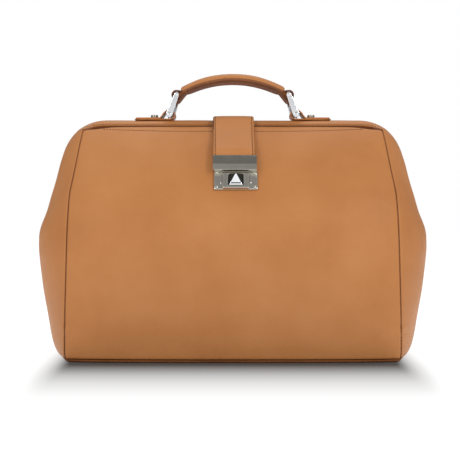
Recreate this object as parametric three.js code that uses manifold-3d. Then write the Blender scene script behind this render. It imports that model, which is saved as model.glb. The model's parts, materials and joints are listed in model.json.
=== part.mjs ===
// Doctor bag: soft leather body on a base board, closed by a hinged steel frame.
// Millimetres, +Z up, the front faces -Y, origin at the middle of the base on the ground.
import * as THREE from 'three';
import { mergeVertices } from 'three/addons/utils/BufferGeometryUtils.js';
import Module from 'manifold-3d';

const wasm = await Module();
wasm.setup();

// ---- Driving dimensions ----
const GAP = 0.4;                 // clearance between neighbouring pieces
const LEATHER = 2.6;             // body leather with its backing
const LINING = 0.8;
const BASE_LEATHER = 3;
const BASE_BOARD = 3;
const FOLD_LOW = 100;            // the panels fold between these two heights when the frame opens
const FOLD_HIGH = 168;
const PANEL_TOP = 246.4;         // hem of the front and rear panels
const GUSSET_TOP = 230.4;
const LINING_TOP = 118;

const PIVOT_Z = 130;             // frame hinge axis, along X through Y = 0
const FRAME_CORNER_X = 146;      // where the straight rail ends and the corner bend starts
const FRAME_BAR = 2.5;           // thickness of the frame's steel strip
const EYE_RADIUS = 6;
const PIN_RADIUS = 2;
const PIN_CLEARANCE = 0.3;
const REAR_EYE_X = 202.5;
const FRONT_EYE_X = 206.4;
const ARM_CORNER_TURN = THREE.MathUtils.degToRad(72);

const BAR_TOP = 255.3;           // padded top bar, carried by the rear half of the frame
const BAR_HEIGHT = 13;
const BAR_WIDTH = 40.6;
const BAR_LEATHER = 1.8;
const BOARD_THICKNESS = 4;

const RING_LOW = { x: 69.5, z: 261.5 };    // ring turns in the tab here
const RING_HIGH = { x: 61.5, z: 283 };     // handle turns on the ring here
const RING_BAR_RADIUS = 2.3;
const LOOP_RADIUS = 3.5;                   // inside of the leather loops round the ring's bars
const HANDLE_ARC_Z = 182.5;                // centre of the handle's arc
const HANDLE_RADIUS = 115;

const STRAP_WIDTH = 44.9;
const STRAP_THICKNESS = 3.2;
const STRAP_SIDE = 1;            // the closing strap hangs a little to the right
const HASP_SIDE = 2;
const LOCK_SIDE = 3;
const LOCK_TOP_Z = 197;          // where the hasp meets the lock plate
const LOCK_LOW_Z = 176.4;
const LOCK_WIDTH = 45.6;
const BUTTON_TRAVEL = 2.5;

// ---- Materials ----
function material(color, roughness, metalness) {
  return new THREE.MeshStandardMaterial({ color, roughness, metalness });
}
const tanLeather = material(0xc0854f, 0.5, 0);
const edgeLeather = material(0x9a6238, 0.55, 0);
const liningCloth = material(0xb79a78, 0.9, 0);
const fibreBoard = material(0x6e5a45, 0.85, 0);
const frameSteel = material(0x8d8f90, 0.35, 1);
const nickel = material(0x9b9a92, 0.25, 1);
const chrome = material(0xe2e4e8, 0.08, 1);

// ---- Body outline ----
// Smooth curve through [height, value] pairs that never overshoots them.
function profile(points) {
  const count = points.length;
  const slopes = [];
  for (let i = 0; i < count - 1; i++) {
    slopes.push((points[i + 1][1] - points[i][1]) / (points[i + 1][0] - points[i][0]));
  }
  const tangents = points.map((_, i) => {
    const before = slopes[Math.max(i - 1, 0)];
    const after = slopes[Math.min(i, count - 2)];
    return before * after <= 0 ? 0 : (2 * before * after) / (before + after);
  });
  return (height) => {
    const z = THREE.MathUtils.clamp(height, points[0][0], points[count - 1][0]);
    let i = 0;
    while (i < count - 2 && z > points[i + 1][0]) i += 1;
    const span = points[i + 1][0] - points[i][0];
    const t = (z - points[i][0]) / span;
    const rise = 3 * t * t - 2 * t * t * t;
    const bendStart = t * (1 - t) * (1 - t) * span * tangents[i];
    const bendEnd = t * t * (t - 1) * span * tangents[i + 1];
    return points[i][1] + (points[i + 1][1] - points[i][1]) * rise + bendStart + bendEnd;
  };
}

// Half width at the middle of the gussets, half width at the panel seams,
// and half depth at the middle of a panel and at its seams.
const halfWidth = profile([
  [0, 198], [40, 204.5], [80, 211.5], [118, 215.7], [136, 214], [152, 207.5],
  [188, 196.8], [216, 188.8], [232, 181.5], [243, 172],
]);
const seamX = profile([[0, 172], [10, 173.5], [100, 172], [170, 171], [195, 168], [247, 162.2]]);
const panelDepth = profile([
  [0, 94], [50, 95], [100, 93], [130, 90.5], [160, 84], [190, 72], [212, 57.5], [230, 43.5], [247, 26.5],
]);
const seamDepth = profile([
  [0, 88], [50, 88.5], [100, 86.5], [130, 83], [160, 75.5], [190, 62.5], [212, 50.5], [230, 40], [247, 25.5],
]);
const GUSSET_ROUNDNESS = 2.2;

function panelY(x, z, inset) {
  const across = x / seamX(z);
  return seamDepth(z) + (panelDepth(z) - seamDepth(z)) * (1 - across * across) - inset;
}

function gussetX(y, z, inset) {
  const across = Math.min(Math.abs(y) / seamDepth(z), 1);
  return seamX(z) + (halfWidth(z) - seamX(z)) * (1 - across ** GUSSET_ROUNDNESS) - inset;
}

// Closed outline of the body at one height, set in from its outer face.
function outline(z, inset, steps = 12) {
  const ring = [];
  const edgeX = seamX(z) - inset;
  const edgeY = seamDepth(z) - inset;
  for (let i = 0; i < steps; i++) {
    const x = edgeX * (2 * (i / steps) - 1);
    ring.push(new THREE.Vector3(x, -panelY(x, z, inset), z));
  }
  for (let i = 0; i < steps; i++) {
    const y = edgeY * (2 * (i / steps) - 1);
    ring.push(new THREE.Vector3(Math.max(gussetX(y, z, inset), edgeX), y, z));
  }
  return ring.concat(ring.map((p) => new THREE.Vector3(-p.x, -p.y, z)));
}

// ---- Shape helpers ----
// Closed mesh from points and triangles, with its faces turned outwards.
function closedMesh(points, triangles) {
  let volume = 0;
  for (const [a, b, c] of triangles) {
    volume += points[a].dot(new THREE.Vector3().crossVectors(points[b], points[c]));
  }
  const index = triangles.flatMap(([a, b, c]) => (volume < 0 ? [a, c, b] : [a, b, c]));
  const geometry = new THREE.BufferGeometry().setFromPoints(points);
  geometry.setIndex(index);
  return geometry;
}

// Skin over a stack of rings with equal numbers of points, closed by a fan at both ends.
function loft(rings) {
  const size = rings[0].length;
  const points = rings.flat();
  const triangles = [];
  for (let r = 0; r < rings.length - 1; r++) {
    for (let i = 0; i < size; i++) {
      const a = r * size + i;
      const b = r * size + ((i + 1) % size);
      triangles.push([a, b, b + size], [a, b + size, a + size]);
    }
  }
  const ends = [[0, rings[0]], [(rings.length - 1) * size, rings.at(-1)]];
  ends.forEach(([start, ring], end) => {
    const middle = new THREE.Vector3();
    ring.forEach((p) => middle.add(p));
    const hub = points.push(middle.divideScalar(size)) - 1;
    for (let i = 0; i < size; i++) {
      const a = start + i;
      const b = start + ((i + 1) % size);
      triangles.push(end === 0 ? [b, a, hub] : [a, b, hub]);
    }
  });
  return closedMesh(points, triangles);
}

// Sheet with thickness: outer(u, v) and inner(u, v) give its two faces, u and v from 0 to 1.
function sheet(outer, inner, uSteps, vSteps) {
  const points = [];
  const row = uSteps + 1;
  for (const face of [outer, inner]) {
    for (let v = 0; v <= vSteps; v++) {
      for (let u = 0; u <= uSteps; u++) points.push(face(u / uSteps, v / vSteps));
    }
  }
  const back = row * (vSteps + 1);
  const triangles = [];
  const quad = (a, b, c, d) => triangles.push([a, b, c], [a, c, d]);
  for (let v = 0; v < vSteps; v++) {
    for (let u = 0; u < uSteps; u++) {
      const a = v * row + u;
      quad(a, a + 1, a + row + 1, a + row);
      quad(back + a, back + a + row, back + a + row + 1, back + a + 1);
    }
    const left = v * row;
    const right = left + uSteps;
    quad(left, left + row, back + left + row, back + left);
    quad(right, back + right, back + right + row, right + row);
  }
  for (let u = 0; u < uSteps; u++) {
    const top = vSteps * row + u;
    quad(u, back + u, back + u + 1, u + 1);
    quad(top, top + 1, back + top + 1, back + top);
  }
  return closedMesh(points, triangles);
}

// Outline of a strip that follows a line of [x, y] points.
function strip(line, thickness) {
  const sides = [[], []];
  line.forEach(([x, y], i) => {
    const before = line[Math.max(i - 1, 0)];
    const after = line[Math.min(i + 1, line.length - 1)];
    const along = new THREE.Vector2(after[0] - before[0], after[1] - before[1]).normalize();
    sides[0].push(new THREE.Vector2(x - along.y * thickness / 2, y + along.x * thickness / 2));
    sides[1].unshift(new THREE.Vector2(x + along.y * thickness / 2, y - along.x * thickness / 2));
  });
  return new THREE.Shape(sides.flat());
}

function arcLine(x, y, radius, startAngle, endAngle, steps) {
  return Array.from({ length: steps + 1 }, (_, i) => {
    const angle = startAngle + (endAngle - startAngle) * (i / steps);
    return [x + radius * Math.cos(angle), y + radius * Math.sin(angle)];
  });
}

// Extrusions centred on the middle plane: a drawing in X and Z, or one in Y and Z.
function extrudeAlongY(shape, width) {
  const geometry = new THREE.ExtrudeGeometry(shape, { depth: width, bevelEnabled: false });
  return geometry.translate(0, 0, -width / 2).rotateX(Math.PI / 2);
}

function extrudeAlongX(shape, width) {
  const geometry = new THREE.ExtrudeGeometry(shape, { depth: width, bevelEnabled: false });
  return geometry.translate(0, 0, -width / 2).rotateY(Math.PI / 2).rotateX(Math.PI / 2);
}

function disc(x, z, radius, sides = 24) {
  return new THREE.Shape(arcLine(x, z, radius, 0, 2 * Math.PI * (1 - 1 / sides), sides - 1)
    .map(([px, pz]) => new THREE.Vector2(px, pz)));
}

function box(width, depth, height, x, y, z) {
  return new THREE.BoxGeometry(width, depth, height).translate(x, y, z);
}

// Round bar from one end of an axis to the other.
function rod(radius, start, end, sides = 16) {
  const axis = new THREE.Vector3().subVectors(end, start);
  const turn = new THREE.Quaternion().setFromUnitVectors(new THREE.Vector3(0, 1, 0), axis.clone().normalize());
  const middle = new THREE.Vector3().addVectors(start, end).multiplyScalar(0.5);
  const geometry = new THREE.CylinderGeometry(radius, radius, axis.length(), sides);
  return geometry.applyQuaternion(turn).translate(middle.x, middle.y, middle.z);
}

function vec(x, y, z) {
  return new THREE.Vector3(x, y, z);
}

function solid(geometry) {
  const bare = geometry.clone();
  bare.deleteAttribute('normal');
  bare.deleteAttribute('uv');
  const merged = mergeVertices(bare, 1e-4);
  return new wasm.Manifold(new wasm.Mesh({
    numProp: 3,
    vertProperties: Float32Array.from(merged.attributes.position.array),
    triVerts: Uint32Array.from(merged.index.array),
  }));
}

function fromSolid(result) {
  const mesh = result.getMesh();
  const geometry = new THREE.BufferGeometry();
  geometry.setAttribute('position', new THREE.BufferAttribute(mesh.vertProperties, 3));
  geometry.setIndex(new THREE.BufferAttribute(mesh.triVerts, 1));
  return geometry;
}

function join(...pieces) {
  return fromSolid(pieces.map(solid).reduce((whole, piece) => whole.add(piece)));
}

function cut(body, ...cutters) {
  return fromSolid(cutters.map(solid).reduce((whole, cutter) => whole.subtract(cutter), solid(body)));
}

const bag = new THREE.Group();

function add(name, geometry, finish, parent = bag) {
  const mesh = new THREE.Mesh(geometry, finish);
  mesh.name = name;
  parent.add(mesh);
  return mesh;
}

// ---- Lock placement: it lies on the sloping upper part of the front panel ----
const lockSlope = Math.atan2(panelDepth(LOCK_LOW_Z) - panelDepth(LOCK_TOP_Z), LOCK_TOP_Z - LOCK_LOW_Z);
const LOCK_STANDOFF = 1;

// In the lock's own axes -Y points out of the panel and +Z up its slope.
function placeOnSlope(geometry) {
  return geometry.rotateX(-lockSlope).translate(0, -panelDepth(LOCK_TOP_Z) - LOCK_STANDOFF, LOCK_TOP_Z);
}

const PLATE_HEIGHT = 22.8;
const PLATE_THICKNESS = 1.8;
const BUTTON_Z = -10.4;
const STEM_RADIUS = 3.2;
const RIVET_RADIUS = 0.9;
const RIVET_PLACES = [[-19.6, -3.4], [19.6, -3.4], [-19.6, -20], [19.6, -20]];
const BACK_PLATE_Y = 5.4;        // inside the panel, behind the leather

function lockHoles(clearance) {
  const holes = RIVET_PLACES.map(([x, z]) => (
    rod(RIVET_RADIUS + clearance, vec(LOCK_SIDE + x, -9, z), vec(LOCK_SIDE + x, 12, z), 12)
  ));
  holes.push(rod(STEM_RADIUS + clearance, vec(LOCK_SIDE, -9, BUTTON_Z), vec(LOCK_SIDE, 12, BUTTON_Z), 24));
  return holes;
}

// ---- Leather body ----
// side is -1 for the front panel and 1 for the rear one.
function panel(side, low, high) {
  const face = (inset) => (u, v) => {
    const z = low + (high - low) * v;
    const x = (seamX(z) - GAP / 2) * (2 * u - 1);
    return vec(x, side * panelY(x, z, inset), z);
  };
  return sheet(face(0), face(LEATHER), 12, Math.max(2, Math.round((high - low) / 14)));
}

function gusset(side, low, high) {
  const face = (inset) => (u, v) => {
    const z = low + (high - low) * v;
    const y = (seamDepth(z) - LEATHER - GAP) * (2 * u - 1);
    return vec(side * gussetX(y, z, inset), y, z);
  };
  return sheet(face(0), face(LEATHER), 12, Math.max(2, Math.round((high - low) / 14)));
}

function addBody() {
  add('base_panel', loft([outline(0, 1.2), outline(1.2, 0), outline(BASE_LEATHER, 0)]), tanLeather);
  const boardLow = BASE_LEATHER + GAP;
  const boardInset = LEATHER + GAP;
  const boardHigh = boardLow + BASE_BOARD;
  add('base_board', loft([outline(boardLow, boardInset), outline(boardHigh, boardInset)]), fibreBoard);
  const wallLow = BASE_LEATHER + GAP / 2;
  const half = GAP / 2;
  const parts = [['lower', wallLow, FOLD_LOW - half], ['middle', FOLD_LOW + half, FOLD_HIGH - half]];
  for (const [part, low, high] of parts) {
    add(`front_panel_${part}`, panel(-1, low, high), tanLeather);
    add(`rear_panel_${part}`, panel(1, low, high), tanLeather);
  }
  const upper = panel(-1, FOLD_HIGH + half, PANEL_TOP);
  add('front_panel_upper', cut(upper, ...lockHoles(PIN_CLEARANCE).map(placeOnSlope)), tanLeather);
  add('rear_panel_upper', panel(1, FOLD_HIGH + half, PANEL_TOP), tanLeather);
  for (const [name, side] of [['left', -1], ['right', 1]]) {
    add(`gusset_${name}_lower`, gusset(side, wallLow, PIVOT_Z - 8 - half), tanLeather);
    add(`gusset_${name}_upper`, gusset(side, PIVOT_Z - 8 + half, GUSSET_TOP), tanLeather);
  }
  addLining(boardHigh + GAP);
}

// The lining is a thin tub standing inside the walls on the base board.
function addLining(low) {
  const outer = LEATHER + 2 * GAP;
  const inner = outer + LINING;
  const heights = [low, 40, 80, LINING_TOP];
  const rings = heights.map((z) => outline(z, outer, 12));
  rings.push(...heights.reverse().map((z) => outline(Math.max(z, low + LINING), inner, 12)));
  add('lining', loft(rings), liningCloth);
}

// ---- Hinged frame ----
// Middle line of one half of the frame in X and distance from the hinge axis:
// up one arm, round the corner, along the rail and down the other arm.
function frameLine(eyeX, railRadius, bendRadius) {
  const kneeRadius = EYE_RADIUS + 5;
  const bendCentre = railRadius - bendRadius;
  const corner = arcLine(FRAME_CORNER_X, bendCentre, bendRadius, Math.PI / 2 - ARM_CORNER_TURN, Math.PI / 2, 8);
  const right = [[eyeX, 0], [eyeX, kneeRadius], ...corner];
  return right.concat(right.map(([x, r]) => [-x, r]).reverse());
}

// One half of the frame: its bar bent to a U, with an eye at the foot of each arm.
function frameHalf(eyeX, railRadius, bendRadius, width, lean) {
  const pieces = [extrudeAlongY(strip(frameLine(eyeX, railRadius, bendRadius), FRAME_BAR), width)];
  const holes = [];
  for (const side of [-1, 1]) {
    const eye = [vec(side * eyeX - FRAME_BAR / 2, 0, 0), vec(side * eyeX + FRAME_BAR / 2, 0, 0)];
    pieces.push(rod(EYE_RADIUS, ...eye, 24));
    const reach = [vec(side * eyeX - FRAME_BAR, 0, 0), vec(side * eyeX + FRAME_BAR, 0, 0)];
    holes.push(rod(PIN_RADIUS + PIN_CLEARANCE, ...reach, 24));
  }
  return cut(join(...pieces), ...holes).rotateX(lean).translate(0, 0, PIVOT_Z);
}

const FRONT_RAIL_RADIUS = 113;
const FRONT_RAIL_Y = -25;
const REAR_RAIL_RADIUS = 115.8;
const BAR_MIDDLE_RADIUS = BAR_TOP - BAR_HEIGHT / 2 - PIVOT_Z;
const BAR_BEND_RADIUS = 30;
const BAR_END_TURN = THREE.MathUtils.degToRad(58);   // the sleeve follows the frame's corner this far
const REAR_BEND_RADIUS = BAR_BEND_RADIUS - (BAR_MIDDLE_RADIUS - REAR_RAIL_RADIUS);

function addFrame() {
  const lean = -Math.asin(FRONT_RAIL_Y / FRONT_RAIL_RADIUS);
  const frontBend = REAR_BEND_RADIUS + FRONT_EYE_X - REAR_EYE_X;
  add('front_frame', frameHalf(FRONT_EYE_X, FRONT_RAIL_RADIUS, frontBend, 4, lean), frameSteel);
  add('rear_frame', frameHalf(REAR_EYE_X, REAR_RAIL_RADIUS, REAR_BEND_RADIUS, 10, 0), frameSteel);
  for (const [name, side] of [['left', -1], ['right', 1]]) addHinge(name, side);
}

// A rivet holds both arms, with a washer between them.
function addHinge(name, side) {
  const headThickness = 1.5;
  const headRadius = 4.6;
  const clear = FRAME_BAR / 2 + GAP;
  const innerFace = REAR_EYE_X - clear;
  const outerFace = FRONT_EYE_X + clear;
  const at = (x) => vec(side * x, 0, PIVOT_Z);
  const shank = rod(PIN_RADIUS, at(innerFace - 1), at(outerFace + 1), 20);
  const heads = [
    rod(headRadius, at(innerFace - headThickness), at(innerFace), 20),
    rod(headRadius, at(outerFace), at(outerFace + headThickness), 20),
  ];
  add(`hinge_rivet_${name}`, join(shank, ...heads), frameSteel);
  const washer = rod(5, at(REAR_EYE_X + clear), at(FRONT_EYE_X - clear), 20);
  const washerHole = rod(PIN_RADIUS + PIN_CLEARANCE, at(REAR_EYE_X), at(FRONT_EYE_X), 20);
  add(`hinge_washer_${name}`, cut(washer, washerHole), frameSteel);
}

// ---- Top bar: a board in a leather sleeve on the rear half of the frame ----
const STUD_X = 87;
const STUD_SHANK = 1.6;
const TAB_BOTTOM = BAR_TOP + GAP;
const TAB_THICKNESS = 3.2;
const TAB_TOP = TAB_BOTTOM + TAB_THICKNESS;

function barLine(extraTurn) {
  const turn = BAR_END_TURN + extraTurn;
  const middleZ = BAR_TOP - BAR_HEIGHT / 2;
  const corner = arcLine(FRAME_CORNER_X, middleZ - BAR_BEND_RADIUS, BAR_BEND_RADIUS, Math.PI / 2 - turn, Math.PI / 2, 9);
  return corner.concat(corner.map(([x, z]) => [-x, z]).reverse());
}

function studHoles() {
  return [-1, 1].map((side) => {
    const x = side * STUD_X;
    return rod(STUD_SHANK + PIN_CLEARANCE, vec(x, 0, 240), vec(x, 0, 270));
  });
}

function addTopBar() {
  const outer = extrudeAlongY(strip(barLine(0), BAR_HEIGHT), BAR_WIDTH);
  const hollow = extrudeAlongY(strip(barLine(0.1), BAR_HEIGHT - 2 * BAR_LEATHER), BAR_WIDTH - 2 * BAR_LEATHER);
  const topHoles = studHoles().map((hole) => hole.translate(0, 0, 6));
  add('top_bar_cover', cut(outer, hollow, ...topHoles), tanLeather);
  const boardTop = BAR_TOP - BAR_LEATHER - GAP;
  const boardWidth = BAR_WIDTH - 2 * BAR_LEATHER - 2;
  const length = 2 * (FRAME_CORNER_X - 4);
  const board = box(length, boardWidth, BOARD_THICKNESS, 0, 0, boardTop - BOARD_THICKNESS / 2);
  add('top_bar_board', cut(board, ...studHoles()), fibreBoard);
}

// ---- Handle with its rings and tabs ----
const RING_INNER_WIDTH = 30;
const RING_PLATE = 2.4;
const TAB_WIDTH = 28;
const TAB_TIP_X = 108;

function addTab(name, side) {
  const flat = [[TAB_TIP_X, TAB_BOTTOM + TAB_THICKNESS / 2], [RING_LOW.x, TAB_BOTTOM + TAB_THICKNESS / 2]];
  const tongue = extrudeAlongY(strip(flat, TAB_THICKNESS), TAB_WIDTH);
  const loopOutside = RING_LOW.z - TAB_BOTTOM;
  const loop = extrudeAlongY(disc(RING_LOW.x, RING_LOW.z, loopOutside), TAB_WIDTH);
  const eye = extrudeAlongY(disc(RING_LOW.x, RING_LOW.z, LOOP_RADIUS), TAB_WIDTH + 2);
  const shape = cut(join(tongue, loop), eye, studHoles()[1]);
  add(`handle_tab_${name}`, side < 0 ? shape.rotateZ(Math.PI) : shape, tanLeather);
  const head = new THREE.LatheGeometry([
    new THREE.Vector2(0, 247.6), new THREE.Vector2(STUD_SHANK, 247.6), new THREE.Vector2(STUD_SHANK, TAB_TOP + GAP),
    new THREE.Vector2(4, TAB_TOP + GAP), new THREE.Vector2(4, TAB_TOP + 2.4),
    new THREE.Vector2(3.4, TAB_TOP + 3), new THREE.Vector2(0, TAB_TOP + 3),
  ], 24);
  add(`tab_stud_${name}`, head.rotateX(Math.PI / 2).translate(side * STUD_X, 0, 0), nickel);
}

// A ring is two tapered side plates joined by two round bars.
function addRing(name, side) {
  const lowHalf = 3.7;
  const highHalf = 2.6;
  const along = new THREE.Vector2(RING_HIGH.x - RING_LOW.x, RING_HIGH.z - RING_LOW.z);
  const turn = along.angle();
  const lowEnd = arcLine(RING_LOW.x, RING_LOW.z, lowHalf, turn + Math.PI / 2, turn + 1.5 * Math.PI, 8);
  const highEnd = arcLine(RING_HIGH.x, RING_HIGH.z, highHalf, turn - Math.PI / 2, turn + Math.PI / 2, 8);
  const plate = new THREE.Shape(lowEnd.concat(highEnd).map(([x, z]) => new THREE.Vector2(x, z)));
  const pieces = [];
  for (const way of [-1, 1]) {
    pieces.push(extrudeAlongY(plate, RING_PLATE).translate(0, way * (RING_INNER_WIDTH + RING_PLATE) / 2, 0));
  }
  const reach = (RING_INNER_WIDTH + RING_PLATE) / 2;
  for (const pin of [RING_LOW, RING_HIGH]) {
    pieces.push(rod(RING_BAR_RADIUS, vec(pin.x, -reach, pin.z), vec(pin.x, reach, pin.z), 20));
  }
  const shape = join(...pieces);
  add(`handle_ring_${name}`, side < 0 ? shape.rotateZ(Math.PI) : shape, chrome);
}

// Rings of a section swept round the handle's arc; the section is [across, outwards] points.
function aroundHandle(section, halfTurn, steps = 14) {
  const rings = [];
  for (let i = 0; i <= steps; i++) {
    const angle = Math.PI / 2 + halfTurn * (1 - 2 * (i / steps));
    rings.push(section.map(([y, out]) => {
      const radius = HANDLE_RADIUS + out;
      return vec(radius * Math.cos(angle), y, HANDLE_ARC_Z + radius * Math.sin(angle));
    }));
  }
  return loft(rings);
}

function domeSection(halfWidthY, low, height) {
  return arcLine(0, 0, 1, 0, Math.PI, 10).map(([x, y]) => [halfWidthY * x, low + height * y]);
}

function addHandle() {
  const strapThickness = 2.8;
  const strapWidth = 25;
  const coverTurn = 0.455;
  const coverLow = strapThickness / 2 + GAP;
  const ends = Math.asin((RING_HIGH.x - 1) / HANDLE_RADIUS);
  const line = arcLine(0, HANDLE_ARC_Z, HANDLE_RADIUS, Math.PI / 2 - ends, Math.PI / 2 + ends, 18);
  const parts = [extrudeAlongY(strip(line, strapThickness), strapWidth)];
  const eyes = [];
  for (const side of [-1, 1]) {
    parts.push(extrudeAlongY(disc(side * RING_HIGH.x, RING_HIGH.z, 5.8), strapWidth));
    eyes.push(extrudeAlongY(disc(side * RING_HIGH.x, RING_HIGH.z, LOOP_RADIUS), strapWidth + 2));
  }
  add('handle_strap', cut(join(...parts), ...eyes), edgeLeather);
  const outer = aroundHandle(domeSection(12.5, coverLow, 8), coverTurn);
  const hollow = aroundHandle(domeSection(10.6, coverLow - 1, 7), coverTurn + 0.05);
  add('handle_cover', cut(outer, hollow), tanLeather);
  add('handle_filler', aroundHandle(domeSection(9.6, coverLow, 5.2), coverTurn - 0.02), fibreBoard);
}

// ---- Closing strap and lock ----
// Side view of the strap in Y and Z, from the top bar down to the hasp.
const STRAP_BREAK_Y = -18.6;     // the strap is sewn to the top bar behind this line
const STRAP_TOP = BAR_TOP + GAP + STRAP_THICKNESS / 2;

function addStrap() {
  const fixed = [[17, STRAP_TOP], [STRAP_BREAK_Y + GAP, STRAP_TOP]];
  add('strap_anchor', extrudeAlongX(strip(fixed, STRAP_THICKNESS), STRAP_WIDTH).translate(STRAP_SIDE, 0, 0), tanLeather);
  const slotTop = slopePoint(5, 16.5);
  const slotEnd = slopePoint(5, 5.6);
  const hanging = [
    [STRAP_BREAK_Y, STRAP_TOP], [-23.4, STRAP_TOP - 0.8], [-28, STRAP_TOP - 4], [-33.6, STRAP_TOP - 10.5],
    [-47, 234.5], [-57, 223.5], slotTop, slotEnd,
  ];
  add('strap_flap', extrudeAlongX(strip(hanging, STRAP_THICKNESS), STRAP_WIDTH).translate(STRAP_SIDE, 0, 0), tanLeather);
}

// A point given by its distance out of the panel and up its slope from the top of the lock plate.
function slopePoint(out, up) {
  const p = placeOnSlope(new THREE.BufferGeometry().setFromPoints([vec(0, -out, up)])).attributes.position;
  return [p.getY(0), p.getZ(0)];
}

function addHasp() {
  const clip = new THREE.Shape([
    [-0.8, 0.4], [-8.8, 0.4], [-8.8, 7.3], [-7.9, 17], [-7, 17], [-7, 5], [-3, 5], [-3, 17], [-0.8, 17],
  ].map(([y, z]) => new THREE.Vector2(y, z)));
  add('hasp', placeOnSlope(extrudeAlongX(clip, LOCK_WIDTH).translate(HASP_SIDE, 0, 0)), nickel);
}

function addLock() {
  const plateTop = 0;
  const plate = box(LOCK_WIDTH, PLATE_THICKNESS, PLATE_HEIGHT, LOCK_SIDE, -PLATE_THICKNESS / 2, plateTop - PLATE_HEIGHT / 2);
  add('lock_plate', placeOnSlope(cut(plate, ...lockHoles(PIN_CLEARANCE))), nickel);
  const caseY = -PLATE_THICKNESS - GAP;
  const caseDepth = 3;
  const caseOuter = box(27.2, caseDepth, 17.4, LOCK_SIDE, caseY - caseDepth / 2, BUTTON_Z - 0.6);
  const caseHole = box(15.4, caseDepth + 2, 14, LOCK_SIDE, caseY - caseDepth / 2, BUTTON_Z);
  add('lock_case', placeOnSlope(cut(caseOuter, caseHole)), nickel);
  const back = box(LOCK_WIDTH - 2, 1.2, PLATE_HEIGHT - 1.2, LOCK_SIDE, BACK_PLATE_Y, plateTop - PLATE_HEIGHT / 2);
  add('lock_back_plate', placeOnSlope(cut(back, ...lockHoles(PIN_CLEARANCE))), frameSteel);
  RIVET_PLACES.forEach(([x, z], i) => {
    const head = rod(1.5, vec(LOCK_SIDE + x, -3, z), vec(LOCK_SIDE + x, -PLATE_THICKNESS - 0.3, z), 12);
    const shank = rod(RIVET_RADIUS, vec(LOCK_SIDE + x, -2.6, z), vec(LOCK_SIDE + x, BACK_PLATE_Y + 1.4, z), 12);
    add(`lock_rivet_${i + 1}`, placeOnSlope(join(head, shank)), nickel);
  });
}

// Push button: a pyramid leaning to its upper edge, on a round stem with a spring behind it.
function addButton() {
  const baseY = -PLATE_THICKNESS - 0.4 - BUTTON_TRAVEL;
  const halfX = 7;
  const halfZ = 6.3;
  const ring = (y, hx, low, high) => [
    vec(LOCK_SIDE - hx, y, BUTTON_Z + low), vec(LOCK_SIDE + hx, y, BUTTON_Z + low),
    vec(LOCK_SIDE + hx, y, BUTTON_Z + high), vec(LOCK_SIDE - hx, y, BUTTON_Z + high),
  ];
  const head = loft([
    ring(baseY, halfX, -halfZ, halfZ), ring(baseY - 1, halfX, -halfZ, halfZ), ring(baseY - 6, 0.8, halfZ - 2, halfZ - 0.6),
  ]);
  const stem = rod(STEM_RADIUS, vec(LOCK_SIDE, baseY - 0.5, BUTTON_Z), vec(LOCK_SIDE, BACK_PLATE_Y + 1, BUTTON_Z), 20);
  add('lock_button', placeOnSlope(join(head, stem)), nickel);
  const springLow = -PLATE_THICKNESS - 0.5;
  const wire = 0.5;
  const turns = 2;
  const height = -baseY + springLow - wire - 0.2;
  class Coil extends THREE.Curve {
    getPoint(t, target = new THREE.Vector3()) {
      const angle = 2 * Math.PI * turns * t;
      const radius = STEM_RADIUS + 1;
      const y = springLow - wire / 2 - height * t;
      return target.set(LOCK_SIDE + radius * Math.cos(angle), y, BUTTON_Z + radius * Math.sin(angle));
    }
  }
  const section = disc(0, 0, wire / 2, 6);
  const spring = new THREE.ExtrudeGeometry(section, { steps: 32, extrudePath: new Coil(), bevelEnabled: false });
  add('button_spring', placeOnSlope(spring), frameSteel);
}

addBody();
addFrame();
addTopBar();
for (const [name, side] of [['left', -1], ['right', 1]]) {
  addTab(name, side);
  addRing(name, side);
}
addHandle();
addStrap();
addHasp();
addLock();
addButton();

export default bag;
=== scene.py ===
"""Looks of the tan leather doctor bag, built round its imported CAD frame. Shapes are in millimetres."""
import json
import math

import bmesh
import bpy
import numpy as np
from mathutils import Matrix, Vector, noise


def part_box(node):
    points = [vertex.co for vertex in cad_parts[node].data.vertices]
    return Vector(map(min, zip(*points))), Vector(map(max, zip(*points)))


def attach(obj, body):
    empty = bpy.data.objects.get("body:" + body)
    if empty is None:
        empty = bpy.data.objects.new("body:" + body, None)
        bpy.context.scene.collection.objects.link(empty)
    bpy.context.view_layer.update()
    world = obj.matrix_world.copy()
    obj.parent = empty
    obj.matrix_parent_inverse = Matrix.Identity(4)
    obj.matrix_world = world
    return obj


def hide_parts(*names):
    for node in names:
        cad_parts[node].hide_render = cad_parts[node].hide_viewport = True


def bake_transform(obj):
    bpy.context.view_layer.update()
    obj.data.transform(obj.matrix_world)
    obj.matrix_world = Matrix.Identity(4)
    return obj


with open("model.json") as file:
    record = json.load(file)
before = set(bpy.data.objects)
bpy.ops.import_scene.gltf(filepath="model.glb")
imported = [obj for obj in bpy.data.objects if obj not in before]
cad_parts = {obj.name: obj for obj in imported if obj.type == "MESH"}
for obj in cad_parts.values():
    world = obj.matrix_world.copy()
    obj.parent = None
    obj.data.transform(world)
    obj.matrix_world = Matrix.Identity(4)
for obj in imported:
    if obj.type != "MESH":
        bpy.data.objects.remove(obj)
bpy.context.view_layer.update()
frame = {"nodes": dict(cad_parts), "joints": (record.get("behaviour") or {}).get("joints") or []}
MM = 0.001


# ---- Sizes taken from the frame ----
def joint(name):
    return next(j for j in frame["joints"] if j["name"] == name)


def node_box(name):
    low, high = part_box(name)
    return [c / MM for c in low], [c / MM for c in high]


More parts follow.
